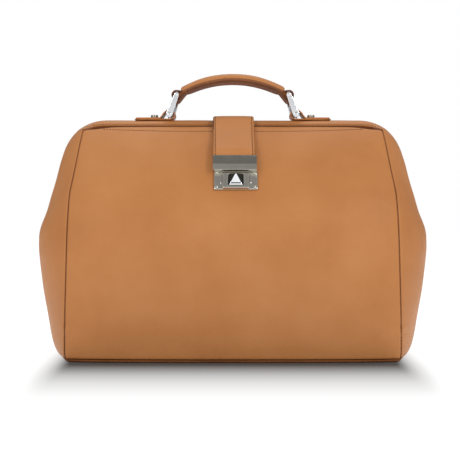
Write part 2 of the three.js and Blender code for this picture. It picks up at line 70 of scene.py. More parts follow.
PIVOT_Z = joint("front_frame_hinge")["pos_m"][2] / MM
RING_LOW = [c / MM for c in joint("ring_right_hinge")["pos_m"]]
RING_HIGH = [-joint("handle_hinge")["pos_m"][0] / MM, 0, joint("handle_hinge")["pos_m"][2] / MM]
LOCK_SLOPE = math.atan2(-joint("lock_button_slide")["axis"][2], joint("lock_button_slide")["axis"][1])
BAR_TOP = node_box("top_bar_cover")[1][2]
STRAP_LOW, STRAP_HIGH = node_box("strap_anchor")
STRAP_X = (STRAP_LOW[0] + STRAP_HIGH[0]) / 2
STRAP_HALF = (STRAP_HIGH[0] - STRAP_LOW[0]) / 2
LOCK_X = sum(c[0] for c in node_box("lock_plate")) / 2
HASP_X = sum(c[0] for c in node_box("hasp")) / 2

# ---- The leather body's outline, as in the CAD model ----
LEATHER = 2.4
SKIN_TOP_Z = 243.6               # height of the mouth's corner
CORNER_START_Z = 216.0           # the gusset starts to bend over the frame's corner here
ROLL_EDGE_Z = 248.6              # lower edge of the top bar's roll
ROLL_HALF = 20.4
SKIN_ROUNDNESS = 2.2             # power of the gusset's cross-section, and of the skin's higher up
MOUTH_ROUNDNESS = 3.0
ROLL_ROUNDNESS = 4.6
FRONT = -1
REAR = 1
SIDES = (("left", -1), ("right", 1))
HALVES = (("front", FRONT), ("rear", REAR))


def profile(points):
    """Smooth curve through (height, value) pairs that never overshoots them."""
    heights = [p[0] for p in points]
    values = [p[1] for p in points]
    count = len(points)
    slopes = [(values[i + 1] - values[i]) / (heights[i + 1] - heights[i]) for i in range(count - 1)]
    tangents = []
    for i in range(count):
        before = slopes[max(i - 1, 0)]
        after = slopes[min(i, count - 2)]
        tangents.append(0 if before * after <= 0 else 2 * before * after / (before + after))

    def value(height):
        z = min(max(height, heights[0]), heights[-1])
        i = 0
        while i < count - 2 and z > heights[i + 1]:
            i += 1
        span = heights[i + 1] - heights[i]
        t = (z - heights[i]) / span
        rise = 3 * t * t - 2 * t ** 3
        bend = t * (1 - t) ** 2 * span * tangents[i] + t * t * (t - 1) * span * tangents[i + 1]
        return values[i] + (values[i + 1] - values[i]) * rise + bend

    return value


half_width = profile([
    (0, 185), (3, 189.6), (9, 195), (20, 199.2), (40, 202.8), (60, 206.4), (80, 210.2), (100, 213.0),
    (118, 214.5), (127, 214.3), (134, 213.2), (141, 211.3), (153, 206.7), (172, 199.8), (188, 195.0),
    (216, 188.0), (232, 181.5), (243, 172),
])
seam_x = profile([(0, 172), (10, 173.5), (100, 172), (170, 171), (195, 168), (247, 162.2)])
panel_depth = profile([
    (0, 94), (50, 95), (100, 93), (130, 90.5), (160, 84), (190, 72), (212, 57.5), (230, 43.5), (247, 26.5),
])
seam_depth = profile([
    (0, 86), (50, 86.5), (100, 84.5), (130, 81), (160, 73.5), (190, 60.5), (212, 48.8), (230, 38.8),
    (247, 25.5),
])


def smooth(edge0, edge1, x):
    t = min(max((x - edge0) / (edge1 - edge0), 0), 1)
    return t * t * (3 - 2 * t)


def bell(x, centre, width):
    return math.exp(-((x - centre) / width) ** 2)


def mix(a, b, t):
    return a + (b - a) * t


def wave(x, y, z, size, seed=0.0):
    """Smooth noise from -1 to 1 at that size of feature."""
    return noise.noise(Vector((x / size + seed, y / size - seed, z / size + 2 * seed)))


# ---- Mesh helpers ----
def new_object(name, verts, faces, smooth_angle=40):
    mesh = bpy.data.meshes.new(name)
    mesh.from_pydata([tuple(c * MM for c in v) for v in verts], [], [tuple(int(i) for i in f) for f in faces])
    bm = bmesh.new()
    bm.from_mesh(mesh)
    bmesh.ops.recalc_face_normals(bm, faces=bm.faces)
    bm.to_mesh(mesh)
    bm.free()
    mesh.shade_smooth()
    mesh.set_sharp_from_angle(angle=math.radians(smooth_angle))
    obj = bpy.data.objects.new(name, mesh)
    bpy.context.scene.collection.objects.link(obj)
    return obj


def grid_faces(rows, cols, start=0, wrap_cols=False):
    faces = []
    for r in range(rows - 1):
        for c in range(cols if wrap_cols else cols - 1):
            a = start + r * cols + c
            b = start + r * cols + (c + 1) % cols
            faces.append((a, b, b + cols, a + cols))
    return faces


def shell_data(outer, inner):
    """Closed solid between two grids of points with equal rows and columns."""
    rows, cols = len(outer), len(outer[0])
    verts = [p for row in outer for p in row] + [p for row in inner for p in row]
    back = rows * cols
    faces = grid_faces(rows, cols) + grid_faces(rows, cols, back)
    for r in range(rows - 1):
        for c in (0, cols - 1):
            a = r * cols + c
            faces.append((a, a + cols, back + a + cols, back + a))
    for c in range(cols - 1):
        for r in (0, rows - 1):
            a = r * cols + c
            faces.append((a, a + 1, back + a + 1, back + a))
    return verts, faces


def tube_data(rings, capped=True):
    """Closed skin over a list of rings with equal numbers of points."""
    cols = len(rings[0])
    verts = [p for ring in rings for p in ring]
    faces = grid_faces(len(rings), cols, wrap_cols=True)
    if capped:
        faces.append(tuple(range(cols)))
        faces.append(tuple(range((len(rings) - 1) * cols, len(rings) * cols)))
    return verts, faces


def join_data(parts):
    verts, faces = [], []
    for part_verts, part_faces in parts:
        start = len(verts)
        verts += list(part_verts)
        faces += [tuple(i + start for i in f) for f in part_faces]
    return verts, faces


def bevelled(name, parts, width, segments=2):
    """Sharp-edged solids joined in one piece, with their edges rounded."""
    verts, faces = join_data(parts)
    obj = new_object(name, verts, faces)
    bm = bmesh.new()
    bm.from_mesh(obj.data)
    edges = [e for e in bm.edges if len(e.link_faces) == 2 and e.calc_face_angle(0) > math.radians(25)]
    bmesh.ops.bevel(
        bm, geom=edges, offset=width * MM, segments=segments, profile=0.6, affect="EDGES", clamp_overlap=True,
    )
    bm.to_mesh(obj.data)
    bm.free()
    obj.data.shade_smooth()
    obj.data.set_sharp_from_angle(angle=math.radians(35))
    return obj


def prism_data(outline, low, high, place):
    """Outline of (a, b) pairs pulled from low to high; place(a, b, c) gives the point."""
    rings = [[place(a, b, c) for a, b in outline] for c in (low, high)]
    return tube_data(rings)


def circle(count):
    """Equally spaced angles of one full turn."""
    return [2 * math.pi * i / count for i in range(count)]


def arc(cx, cy, radius, start, end, steps):
    angles = [mix(start, end, i / steps) for i in range(steps + 1)]
    return [(cx + radius * math.cos(a), cy + radius * math.sin(a)) for a in angles]


def rod_data(start, end, radius, sides=24, dome=0.0):
    """Round bar; dome adds a rounded end to it."""
    a, b = Vector(start), Vector(end)
    along = (b - a).normalized()
    side = along.orthogonal().normalized()
    up = along.cross(side)
    length = (b - a).length
    chamfer = min(0.25, radius * 0.2)
    stations = [(0.0, radius * 0.9), (chamfer, radius)]
    if dome:
        stations.append((length, radius))
        stations += [(length + dome * math.sin(t), radius * math.cos(t)) for t in (0.35, 0.7, 1.05, 1.4)]
    else:
        stations += [(length - chamfer, radius), (length, radius * 0.9)]
    rings = []
    for distance, r in stations:
        centre = a + along * distance
        rings.append([tuple(centre + (side * math.cos(k) + up * math.sin(k)) * r) for k in circle(sides)])
    return tube_data(rings)


def stitch_data(path, pitch, length, radius, lift):
    """Thread stitches laid along a path of (point, outward normal) pairs."""
    parts = []
    points = [Vector(p) for p, _ in path]
    normals = [Vector(n).normalized() for _, n in path]
    travelled = [0.0]
    for i in range(1, len(points)):
        travelled.append(travelled[-1] + (points[i] - points[i - 1]).length)

    def at(distance):
        i = 1
        while i < len(points) - 1 and travelled[i] < distance:
            i += 1
        t = (distance - travelled[i - 1]) / (travelled[i] - travelled[i - 1])
        return points[i - 1].lerp(points[i], t), normals[i - 1].lerp(normals[i], t).normalized()

    count = int(travelled[-1] // pitch)
    for k in range(count):
        middle = (k + 0.5) * travelled[-1] / count
        rings = []
        for step in (-1.0, -0.72, 0.0, 0.72, 1.0):
            point, normal = at(middle + step * length / 2)
            ahead, _ = at(middle + step * length / 2 + 0.05)
            along = (ahead - point).normalized()
            side = along.cross(normal)
            thick = radius * (0.35 if abs(step) == 1 else 1)
            centre = point + normal * (lift - 0.5 * radius * abs(step) ** 3)
            rings.append([
                tuple(centre + (side * math.cos(a) + normal * 0.8 * math.sin(a)) * thick)
                for a in circle(6)
            ])
        parts.append(tube_data(rings))
    return join_data(parts)


# ---- How much of the leather would turn with the frame ----
FULL_TURN = math.radians(60)     # leather above this angle, seen from the hinge, turns with the frame
NO_TURN = math.radians(136)      # and below this one stays with the bag


def frame_share(y, z, side):
    """How much a point turns with its half of the frame, from its angle round the hinge axis."""
    angle = math.atan2(max(side * y, 0.001), z - PIVOT_Z)
    t = min(max((NO_TURN - angle) / (NO_TURN - FULL_TURN), 0), 1)
    return 0.55 * t + 0.45 * t * t * (3 - 2 * t)


def follow_frame(obj, side, share=None):
    """Bakes the piece's place into its mesh and works out, from each point's angle round the hinge axis,
    how much it would turn with one half of the frame; these shares are not used.
    """
    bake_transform(obj)
    if share is None:
        share = [frame_share(v.co.y / MM, v.co.z / MM, side) for v in obj.data.vertices]
    return obj


# ---- Materials ----
class Nodes:
    """Short-hand for building the node tree of one material or world."""

    def __init__(self, owner, shader="Principled BSDF"):
        owner.use_nodes = True
        self.material = owner
        self.tree = owner.node_tree
        self.shader = self.tree.nodes[shader]

    def add(self, kind, inputs=None, **settings):
        node = self.tree.nodes.new(kind)
        for key, value in settings.items():
            setattr(node, key, value)
        for key, value in (inputs or {}).items():
            self.put(node.inputs[key], value)
        return node

    def put(self, socket, value):
        if isinstance(value, bpy.types.NodeSocket):
            self.tree.links.new(value, socket)
        else:
            socket.default_value = value

    def set(self, **inputs):
        for key, value in inputs.items():
            self.put(self.shader.inputs[key.replace("_", " ")], value)

    def position(self):
        return self.add("ShaderNodeTexCoord").outputs["Object"]

    def noise(self, scale, detail=3.0, roughness=0.5, vector=None):
        node = self.add("ShaderNodeTexNoise", {"Scale": scale, "Detail": detail, "Roughness": roughness})
        self.put(node.inputs["Vector"], vector or self.position())
        return node.outputs["Fac"]

    def cells(self, scale, feature="DISTANCE_TO_EDGE", vector=None):
        node = self.add("ShaderNodeTexVoronoi", {"Scale": scale}, feature=feature)
        self.put(node.inputs["Vector"], vector or self.position())
        return node.outputs["Distance"]

    def math(self, operation, a, b=0.5):
        node = self.add("ShaderNodeMath", operation=operation)
        self.put(node.inputs[0], a)
        self.put(node.inputs[1], b)
        return node.outputs[0]

    def span(self, value, low, high, to_low=0.0, to_high=1.0):
        limits = {"From Min": low, "From Max": high, "To Min": to_low, "To Max": to_high}
        node = self.add("ShaderNodeMapRange", limits)
        self.put(node.inputs["Value"], value)
        return node.outputs["Result"]

    def ramp(self, value, stops):
        node = self.add("ShaderNodeValToRGB")
        self.put(node.inputs["Fac"], value)
        elements = node.color_ramp.elements
        while len(elements) < len(stops):
            elements.new(0.5)
        for element, (place, color) in zip(elements, stops):
            element.position = place
            element.color = (*color, 1)
        return node.outputs["Color"]

    def blend_color(self, factor, a, b):
        node = self.add("ShaderNodeMix", data_type="RGBA")
        self.put(node.inputs[0], factor)
        self.put(node.inputs[6], a if isinstance(a, bpy.types.NodeSocket) else (*a, 1))
        self.put(node.inputs[7], b if isinstance(b, bpy.types.NodeSocket) else (*b, 1))
        return node.outputs[2]

    def bump(self, *layers):
        """Bump from (height, strength, distance in millimetres) layers."""
        normal = None
        for height, strength, distance in layers:
            inputs = {"Strength": strength, "Distance": distance * MM, "Height": height}
            node = self.add("ShaderNodeBump", inputs)
            if normal is not None:
                self.put(node.inputs["Normal"], normal)
            normal = node.outputs["Normal"]
        self.put(self.shader.inputs["Normal"], normal)


def new_material(name):
    return Nodes(bpy.data.materials.new(name))


def srgb(*values):
    """Linear colour from 8-bit values, each above 10."""
    return tuple(((v / 255 + 0.055) / 1.055) ** 2.4 for v in values)


def grey(value):
    return (value, value, value)


TAN = srgb(191, 125, 70)
TAN_DARK = srgb(184, 118, 64)
TAN_LIGHT = srgb(197, 132, 78)
# Brown of the leather's edge paint, also the colour of the painted shade in hollows.
EDGE_AND_SHADE_BROWN = srgb(92, 52, 28)


def leather_material(
    name, base=TAN, dark=TAN_DARK, light=TAN_LIGHT, grain=1.0, roughness=0.46, specular=0.28,
):
    m = new_material(name)
    place = m.position()
    cloud = m.noise(14, 4, 0.55, place)
    tone = m.ramp(cloud, [(0.3, dark), (0.5, base), (0.72, light)])
    pebble = m.cells(520, vector=place)
    fine = m.noise(1400, 3, 0.6, place)
    pores = m.cells(1100, "F1", place)
    crease = m.span(pebble, 0.0, 0.12)
    tone = m.blend_color(m.span(crease, 0, 1, 0.16 * grain, 0.0), tone, dark)
    # Curvature: ridges are lightened as edge wear, hollows are darkened towards a dark brown as painted
    # shade.
    wear_and_hollow_shade = m.add("ShaderNodeNewGeometry").outputs["Pointiness"]
    tone = m.blend_color(m.span(wear_and_hollow_shade, 0.53, 0.62, 0, 0.25), tone, light)
    hollow_painted_shade = m.span(wear_and_hollow_shade, 0.45, 0.36, 0, 0.4)
    tone = m.blend_color(hollow_painted_shade, tone, EDGE_AND_SHADE_BROWN)
    m.set(Base_Color=tone, Specular_IOR_Level=specular)
    patch = m.noise(30, 3, 0.5, place)
    gloss = m.span(patch, 0.3, 0.7, roughness - 0.04, roughness + 0.05)
    m.set(Roughness=m.math("ADD", gloss, m.span(crease, 0, 1, 0.06, 0)))
    m.bump(
        (crease, 0.45 * grain, 0.18), (pores, 0.18 * grain, 0.08), (fine, 0.2 * grain, 0.06),
        (m.noise(60, 3, 0.5, place), 0.12, 0.6),
    )
    return m.material


def edge_material():
    m = new_material("painted_edge")
    layers = m.noise(900, 3, 0.6)
    m.set(Base_Color=m.ramp(layers, [(0.3, srgb(70, 38, 20)), (0.7, EDGE_AND_SHADE_BROWN)]), Roughness=0.42)
    m.bump((layers, 0.25, 0.15))
    return m.material


def thread_material(name, dark, light):
    m = new_material(name)
    twist = m.noise(2600, 2, 0.5)
    m.set(Base_Color=m.ramp(twist, [(0.3, dark), (0.7, light)]), Roughness=0.6)
    m.bump((twist, 0.4, 0.08))
    return m.material


def lining_material():
    m = new_material("lining_weave")
    place = m.position()
    threads = {"Vector": place, "Scale": 480, "Distortion": 0.6}
    warp = m.add("ShaderNodeTexWave", threads, bands_direction="X")
    weft = m.add("ShaderNodeTexWave", threads, bands_direction="Z")
    weave = m.math("MULTIPLY", warp.outputs["Fac"], weft.outputs["Fac"])
    tone = m.ramp(m.noise(20, 4, 0.5, place), [(0.3, srgb(150, 124, 94)), (0.7, srgb(172, 146, 112))])
    tone = m.blend_color(m.span(weave, 0, 1, 0.35, 0), tone, srgb(104, 82, 60))
    m.set(Base_Color=tone, Roughness=0.85, Sheen_Weight=0.3, Sheen_Roughness=0.5)
    m.bump((weave, 0.5, 0.2))
    return m.material


def board_material():
    m = new_material("pressed_board")
    fibre = m.noise(260, 6, 0.7)
    m.set(Base_Color=m.ramp(fibre, [(0.3, srgb(96, 78, 60)), (0.7, srgb(130, 108, 84))]), Roughness=0.85)
    m.bump((fibre, 0.4, 0.3))
    return m.material


def metal_material(name, tone, roughness, brushed=0.0, smudge=0.05):
    m = new_material(name)
    place = m.position()
    smear = m.noise(55, 5, 0.6, place)
    dust = m.noise(900, 2, 0.5, place)
    m.set(Base_Color=m.ramp(smear, [(0.25, tuple(c * 0.88 for c in tone)), (0.7, tone)]), Metallic=1.0)
    m.set(Roughness=m.span(smear, 0.3, 0.75, roughness, roughness + smudge))
    lines = m.add("ShaderNodeMapping", {"Vector": place, "Scale": (1, 30, 30)}).outputs["Vector"]
    m.bump((m.noise(200, 3, 0.6, lines), brushed, 0.03), (dust, 0.03, 0.02))
    return m.material


leather = leather_material("tan_leather")
rolled_leather = leather_material("tan_leather_rolled", grain=0.8, roughness=0.38, specular=0.36)
# Darker, less glossy copy of the tan leather for the base, the handle's strap and the folds in its loops:
# painted shade on faces that look down or lie in shadow.
shaded_under_leather = leather_material(
    "shaded_under_leather", srgb(132, 80, 42), srgb(112, 65, 33), srgb(146, 90, 50), roughness=0.7, specular=0.12,
)
# Darker tan: real edge ink on the seams' welts and the tabs' tips, painted shade under the top bar's roll,
# and on the handle's lower hems both edge ink and painted shade.
inked_and_shaded_leather = leather_material(
    "inked_and_shaded_leather", srgb(140, 86, 50), srgb(112, 66, 36), srgb(158, 100, 62), roughness=0.4,
)
painted_edge = edge_material()
thread = thread_material("stitch_thread", srgb(96, 58, 32), srgb(136, 88, 52))
seam_thread = thread_material("seam_thread", srgb(72, 40, 22), srgb(100, 58, 33))
lining_cloth = lining_material()
board = board_material()
steel = metal_material("frame_steel", (0.5, 0.5, 0.5), 0.32, 0.3)
nickel = metal_material("polished_nickel", srgb(204, 200, 190), 0.14, 0.1)
# Darker nickel, on the tab studs and on the hasp's upper face, where it is a painted dark reflection.
dark_nickel = metal_material("brushed_nickel_painted_dark_reflection", srgb(152, 149, 140), 0.24, 0.3)
# Near-black nickel for the lock's well, the button's sides and its groove: painted shade.
shadow_nickel = metal_material("nickel_painted_shadow", srgb(70, 67, 62), 0.3, 0.1)
# Bright chrome for the rings; on the button's lower face it is a painted highlight.
chrome = metal_material("bright_chrome_and_painted_highlight", (0.86, 0.87, 0.89), 0.05, 0.0, 0.03)


# ---- Pieces ----
def finish_piece(obj, *materials, slot="tan_leather", body=None, replaces=()):
    """Gives a piece its materials and the one body that it rides, if there is only one. Its slot is not used.
    """
    for material in materials:
        obj.data.materials.append(material)
    if replaces:
        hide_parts(*replaces)
    if body:
        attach(obj, body)
    return obj


def add_piece(name, data, *materials, smooth_angle=40, **settings):
    """New piece from (points, faces); the settings are those of finish_piece."""
    return finish_piece(new_object(name, *data, smooth_angle=smooth_angle), *materials, **settings)


def paint_faces(obj, index, test):
    """Gives the faces whose middle, in millimetres, passes the test another of the piece's materials."""
    for face in obj.data.polygons:
        if test(face.center / MM):
            face.material_index = index


def ribbon_data(path, half_width, thickness, place, crown=0.0, groove_at=None, groove=0.3):
    """Leather strip swept along a path of (a, b) points; place(a, b, across) gives the point.

    Its edges are rounded, its upper face is crowned, and a stitch groove can run along both edges.
    """
    steps = [-1, -0.985, -0.955, -0.93, -0.905, -0.88, -0.8, -0.6, -0.3, 0]
    across = [s * half_width for s in steps] + [-s * half_width for s in reversed(steps[:-1])]
    if groove_at is not None:
        edge = half_width - groove_at
        across = sorted(set(across) | {s * (edge + d) for s in (-1, 1) for d in (-0.9, -0.4, 0, 0.4, 0.9)})
    half = thickness / 2

    def rim(w):
        gap = half_width - abs(w)
        return half * math.sqrt(max(0.0, 1 - max(0, 1 - gap / half) ** 2)) if gap < half else half

    def upper(w):
        height = rim(w) + crown * (1 - abs(w / half_width) ** 4)
        if groove_at is not None:
            height -= groove * math.exp(-((half_width - abs(w) - groove_at) / 0.5) ** 2)
        return height

    section = [(w, upper(w)) for w in across] + [(w, -rim(w)) for w in reversed(across[1:-1])]
    rings = []
    count = len(path)
    for i, (a, b) in enumerate(path):
        before = path[max(i - 1, 0)]
        after = path[min(i + 1, count - 1)]
        length = math.hypot(after[0] - before[0], after[1] - before[1])
        na, nb = -(after[1] - before[1]) / length, (after[0] - before[0]) / length
        shrink = 0.45 if i in (0, count - 1) else 1.0
        rings.append([place(a + na * h * shrink, b + nb * h * shrink, w) for w, h in section])
    return tube_data(rings)


def smooth_path(points, steps=6):
    """Catmull-Rom curve through (a, b) points."""
    path = []
    for i in range(len(points) - 1):
        p0, p1 = points[max(i - 1, 0)], points[i]
        p2, p3 = points[i + 1], points[min(i + 2, len(points) - 1)]
        for k in range(steps):
            t = k / steps
            path.append(tuple(
                0.5 * (
                    2 * b + (c - a) * t + (2 * a - 5 * b + 4 * c - d) * t * t
                    + (3 * b - a - 3 * c + d) * t ** 3
                )
                for a, b, c, d in zip(p0, p1, p2, p3)
            ))
    path.append(tuple(points[-1]))
    return path


# ---- Leather body ----
GROOVE = 3.2                     # width of leather that rolls into a seam
SEAM_SINK = 2.1                  # and how deep it goes
PUCKER_Z = 33.0                  # small folds beside the seams, over the corner of the base
PANEL_LOW = 3.3                  # lower edge of the panels and gussets
HEM_TOP = 247.0                  # upper edge of the panels
HEM_BACK_Y = 22.4                # inner face of the panels there
REAR_TUCK = 2.4                  # the rear panel ends this much higher, under the top bar's roll


def seam_roll(distance):
    if distance >= GROOVE:
        return 0.0
    return 1 - math.sqrt(1 - ((GROOVE - distance) / GROOVE) ** 2)


def hem_top(x):
    return HEM_TOP - 0.6 * min(abs(x) / 130, 1) ** 2 - 3.4 * smooth(126, 166, abs(x))


def stitch_height(x):
    return 240.9 + 2.9 * min(abs(x) / 141, 1) ** 3


def soft_form(x, z, side, from_edge):
    """How far the leather of a panel stands out of its plain shape: slow swells and a few creases."""
    calm = smooth(0, 26, from_edge) * smooth(3, 22, z) * smooth(HEM_TOP, 225, z)
    seed = 3.1 if side == FRONT else 9.7
    swell = 1.1 * wave(x, 0, z, 120, seed) + 0.35 * wave(x, 0, z, 45, seed + 4)
    swell -= 0.9 * bell(z, 190, 13) * bell(x, 0, 150)
    pucker = 1.1 * bell(from_edge, 0, 9) * bell(z, PUCKER_Z, 8) * math.sin(z * 1.35 + 0.05 * x)
    ripple = 0.22 * bell(from_edge, 0, 7) * wave(x, 0, z, 7, seed) * smooth(6, 20, z)
    return calm * swell + pucker + ripple


def panel_bulge(u, z):
    """Plain depth of a panel: nearly flat in the middle and puffed up beside its seams."""
    shape = 0.6 * (1 - abs(u) ** 3.4) + 0.4 * (1 - abs(u) ** 14)
    return seam_depth(z) + (panel_depth(z) - seam_depth(z)) * shape


def panel_surface(u, z, side, inset=0.0):
    """Point on a panel: u from -1 to 1 between its seams."""
    limit = seam_x(z)
    x = u * limit
    from_edge = limit - abs(x)
    roll = seam_roll(from_edge)
    depth = panel_bulge(u, z) + soft_form(x, z, side, from_edge) - SEAM_SINK * roll - inset
    depth -= 0.4 * bell(z, stitch_height(x), 0.8) * smooth(0, 6, from_edge)
    return (x - math.copysign(1.0 * roll + 0.15, x), side * depth, z)


def panel_columns():
    near = [0, 0.15, 0.4, 0.8, 1.3, 1.9, 2.6, 3.4, 4.6, 6.2, 8.5, 11.5]
    edge = [1 - d / 171 for d in near]
    middle = np.linspace(-edge[-1], edge[-1], 61)[1:-1]
    return [-e for e in edge] + list(middle) + edge[::-1]


def build_panel(name, side, *nodes):
    rows = [4.6, 6.5, 9.5] + list(np.arange(13, 231, 3.6)) + list(np.arange(231.5, 244, 0.8))
    rise = REAR_TUCK if side == REAR else 0
    outer, inner = [], []
    low_edge = [(PANEL_LOW, 2.2), (PANEL_LOW + 0.2, 1.1), (PANEL_LOW + 0.7, 0.3)]
    hem_edge = [(1.6, 0.35), (0.8, 1.0), (0.25, 1.9), (0.0, 3.0)]
    stations = [("low", z, i) for z, i in low_edge] + [("wall", z, 0) for z in rows]
    stations += [("hem", d, i) for d, i in hem_edge]
    for kind, value, inset in stations:
        outer_row, inner_row = [], []
        for u in panel_columns():
            x = u * 165
            top = hem_top(x) + rise * smooth(168, 140, abs(x))
            if kind == "hem":
                z = top - value
            else:
                z = value if value < 225 else 225 + (value - 225) * (top - 1.9 - 225) / (243.9 - 225)
            px, py, pz = panel_surface(u, z, side, inset)
            tuck = smooth(241.5, 247.5, pz) * rise / REAR_TUCK * smooth(168, 150, abs(x))
            py = mix(py, side * (ROLL_HALF - 0.8 - inset), tuck)
            outer_row.append((px, py, pz))
            back = abs(py) - LEATHER + inset * 0.8
            hem_back = min(HEM_BACK_Y + inset, abs(py) - 1.2)
            back = mix(back, hem_back, smooth(228, 236, z)) if z > 228 else back
            inner_row.append((px, side * back, pz))
        outer.append(outer_row)
        inner.append(inner_row)
    obj = add_piece(name, shell_data(outer, inner), leather, smooth_angle=60, replaces=nodes)
    follow_frame(obj, side)


def corner_curve(b):
    """Silhouette of the top corner from the gusset (b = 0) to the top bar (b = 1)."""
    points = [(188.0, CORNER_START_Z), (181.8, 236.0), (166.5, BAR_TOP), (138.0, BAR_TOP)]
    weights = [(1 - b) ** 3, 3 * b * (1 - b) ** 2, 3 * b * b * (1 - b), b ** 3]
    return tuple(sum(w * p[k] for w, p in zip(weights, points)) for k in (0, 1))


MOUTH_B = 0.56                   # the mouth's corner on that curve


def skin_section(place):
    """Middle, centre, half depth and roundness of a cross-section of the bag's outer skin.

    place is a height up to CORNER_START_Z; above it the rest is b on the corner curve.
    """
    if place <= CORNER_START_Z:
        return (half_width(place), place), (seam_x(place), place), seam_depth(place), SKIN_ROUNDNESS
    b = place - CORNER_START_Z
    middle = corner_curve(b)
    if b <= MOUTH_B:
        z = mix(CORNER_START_Z, SKIN_TOP_Z, b / MOUTH_B)
        return middle, (seam_x(z), z), seam_depth(z), mix(SKIN_ROUNDNESS, MOUTH_ROUNDNESS, b / MOUTH_B)
    t = (b - MOUTH_B) / (1 - MOUTH_B)
    corner = corner_curve(MOUTH_B)
    start = (corner[0] - seam_x(SKIN_TOP_Z), corner[1] - SKIN_TOP_Z)
    end = (0.0, BAR_TOP - ROLL_EDGE_Z)
    away = (mix(start[0], end[0], t), mix(start[1], end[1], t) + 1.3 * math.sin(math.pi * t))
    centre = (middle[0] - away[0], middle[1] - away[1])
    half = mix(seam_depth(SKIN_TOP_Z), ROLL_HALF, smooth(0, 0.5, t))
    return middle, centre, half, mix(MOUTH_ROUNDNESS, ROLL_ROUNDNESS, smooth(0, 0.6, t))


def skin_point(place, t, rolled=True):
    """Point of the right-hand skin; t runs from -1 at the front seam to 1 at the rear one."""
    middle, centre, half, power = skin_section(place)
    rise = 1 - abs(t) ** power
    from_edge = (1 - abs(t)) * half * 1.35
    x = centre[0] + (middle[0] - centre[0]) * rise
    z = centre[1] + (middle[1] - centre[1]) * rise
    y = half * t
    if rolled:
        roll = seam_roll(from_edge)
        x -= 0.7 * roll - 0.15
        y -= math.copysign(SEAM_SINK * roll, t)
    return x, y, z


def split_at(place):
    """Where the front half of the gusset ends: between the two arms of the frame."""
    middle, _, half, _ = skin_section(place)
    rise = middle[1] - PIVOT_Z
    return -(1.0 + 0.105 * max(rise, 0)) * smooth(-4, 12, rise) / half


def gusset_swell(y, z, t):
    """How far the leather of a gusset stands out of its plain shape."""
    calm = smooth(0, 0.3, 1 - abs(t)) * smooth(4, 24, z) * smooth(240, 205, z)
    swell = 1.3 * wave(0, y, z, 60, 5.5) + 0.5 * wave(0, y, z, 26, 2.5)
    dent = -1.6 * bell(z, PIVOT_Z + 24, 14) * bell(abs(y), 26, 16)
    pucker = 0.7 * bell((1 - abs(t)) * 85, 0, 9) * bell(z, PUCKER_Z, 8) * math.sin(z * 1.4)
    return calm * swell + dent + pucker


def gusset_places():
    low = [PANEL_LOW, PANEL_LOW + 0.3, PANEL_LOW + 1.2, 6.5, 9.5]
    wall = list(np.arange(13, 214, 3.4))
    corner = [CORNER_START_Z + b for b in np.linspace(0, MOUTH_B, 14)]
    return low + wall + corner


def build_gusset(name, hand, side, *nodes):
    """One half of a gusset; hand is -1 on the left, side tells front from rear."""
    seam_steps = [0, 0.002, 0.006, 0.012, 0.02, 0.03, 0.045, 0.065, 0.09]
    outer, inner = [], []
    for place in gusset_places():
        split = split_at(place)
        span = 1 + split if side == FRONT else 1 - split
        fractions = seam_steps + list(np.linspace(0.12, 0.97, 26)) + [0.985, 0.995, 1.0]
        outer_row, inner_row = [], []
        for f in fractions:
            t = side * (1 - f * span)
            x, y, z = skin_point(place, t)
            x += gusset_swell(y, z, t)
            tuck = 0.9 * smooth(0.965, 1.0, f) * smooth(PIVOT_Z + 6, PIVOT_Z + 60, z)
            low_tuck = 2.0 * smooth(PANEL_LOW + 1.2, PANEL_LOW, z)
            x -= tuck + low_tuck
            thick = LEATHER * (1 - 0.5 * smooth(0.98, 1.0, f) - 0.4 * smooth(0.02, 0, f))
            drop = thick * 0.5 * smooth(225, 245, z)
            outer_row.append((hand * x, y, z))
            inner_row.append((hand * (x - thick), y + math.copysign(0.6, -t) * smooth(0.1, 0.0, f), z - drop))
        outer.append(outer_row)
        inner.append(inner_row)
    obj = add_piece(name, shell_data(outer, inner), leather, smooth_angle=60, replaces=nodes)
    follow_frame(obj, side)


def build_welt(name, hand, side):
    """Dark line of thread and leather edge in the bottom of a seam."""
    rings, path = [], []
    for place in gusset_places():
        _, centre, half, _ = skin_section(place)
        x, y, z = centre[0] - 0.55, side * (half - 1.55), centre[1]
        rings.append([(hand * (x + 0.5 * math.cos(a)), y + 0.5 * math.sin(a), z) for a in circle(8)])
        path.append(((hand * (x + 0.35), y + side * 0.45, z), (hand, side, 0)))
    follow_frame(add_piece(name, tube_data(rings), inked_and_shaded_leather), side)
    follow_frame(add_piece(f"{name}_stitches", stitch_data(path, 3.3, 2.4, 0.34, 0.05), seam_thread), side)


def build_web(name, hand, side):
    """Pleat of the gusset between the arms of the frame."""
    apex_low = (203.0, PIVOT_Z - 4)
    apex_high = (134.0, 168.0)
    rows, shares = [], []
    places = [p for p in gusset_places() if p > PIVOT_Z - 2]
    steps = np.linspace(0, 1, 13)
    thick = 0.7
    for face in (0, 1):
        for i, place in enumerate(places):
            a = i / (len(places) - 1)
            x, y, z = skin_point(place, split_at(place) + side * 0.01, rolled=False)
            edge = (x - 2.2 - 0.6 * face, y + side * (0.35 + thick * face), z - 1.2 * smooth(225, 245, z))
            apex_y = -1 - 5 * a + side * 0.3 * (1 + face)
            apex = (mix(apex_low[0], apex_high[0], a), apex_y, mix(apex_low[1], apex_high[1], a))
            row = []
            for s in steps:
                x, y, z = (mix(start, end, s) for start, end in zip(edge, apex))
                row.append((hand * x, y, z + 5 * math.sin(math.pi * s) * a))
                shares.append((1 - s) * frame_share(edge[1], max(edge[2], PIVOT_Z + 1), side))
            rows.append(row)
    count = len(places)
    obj = add_piece(name, shell_data(rows[:count], rows[count:]), leather, smooth_angle=60)
    follow_frame(obj, side, shares)


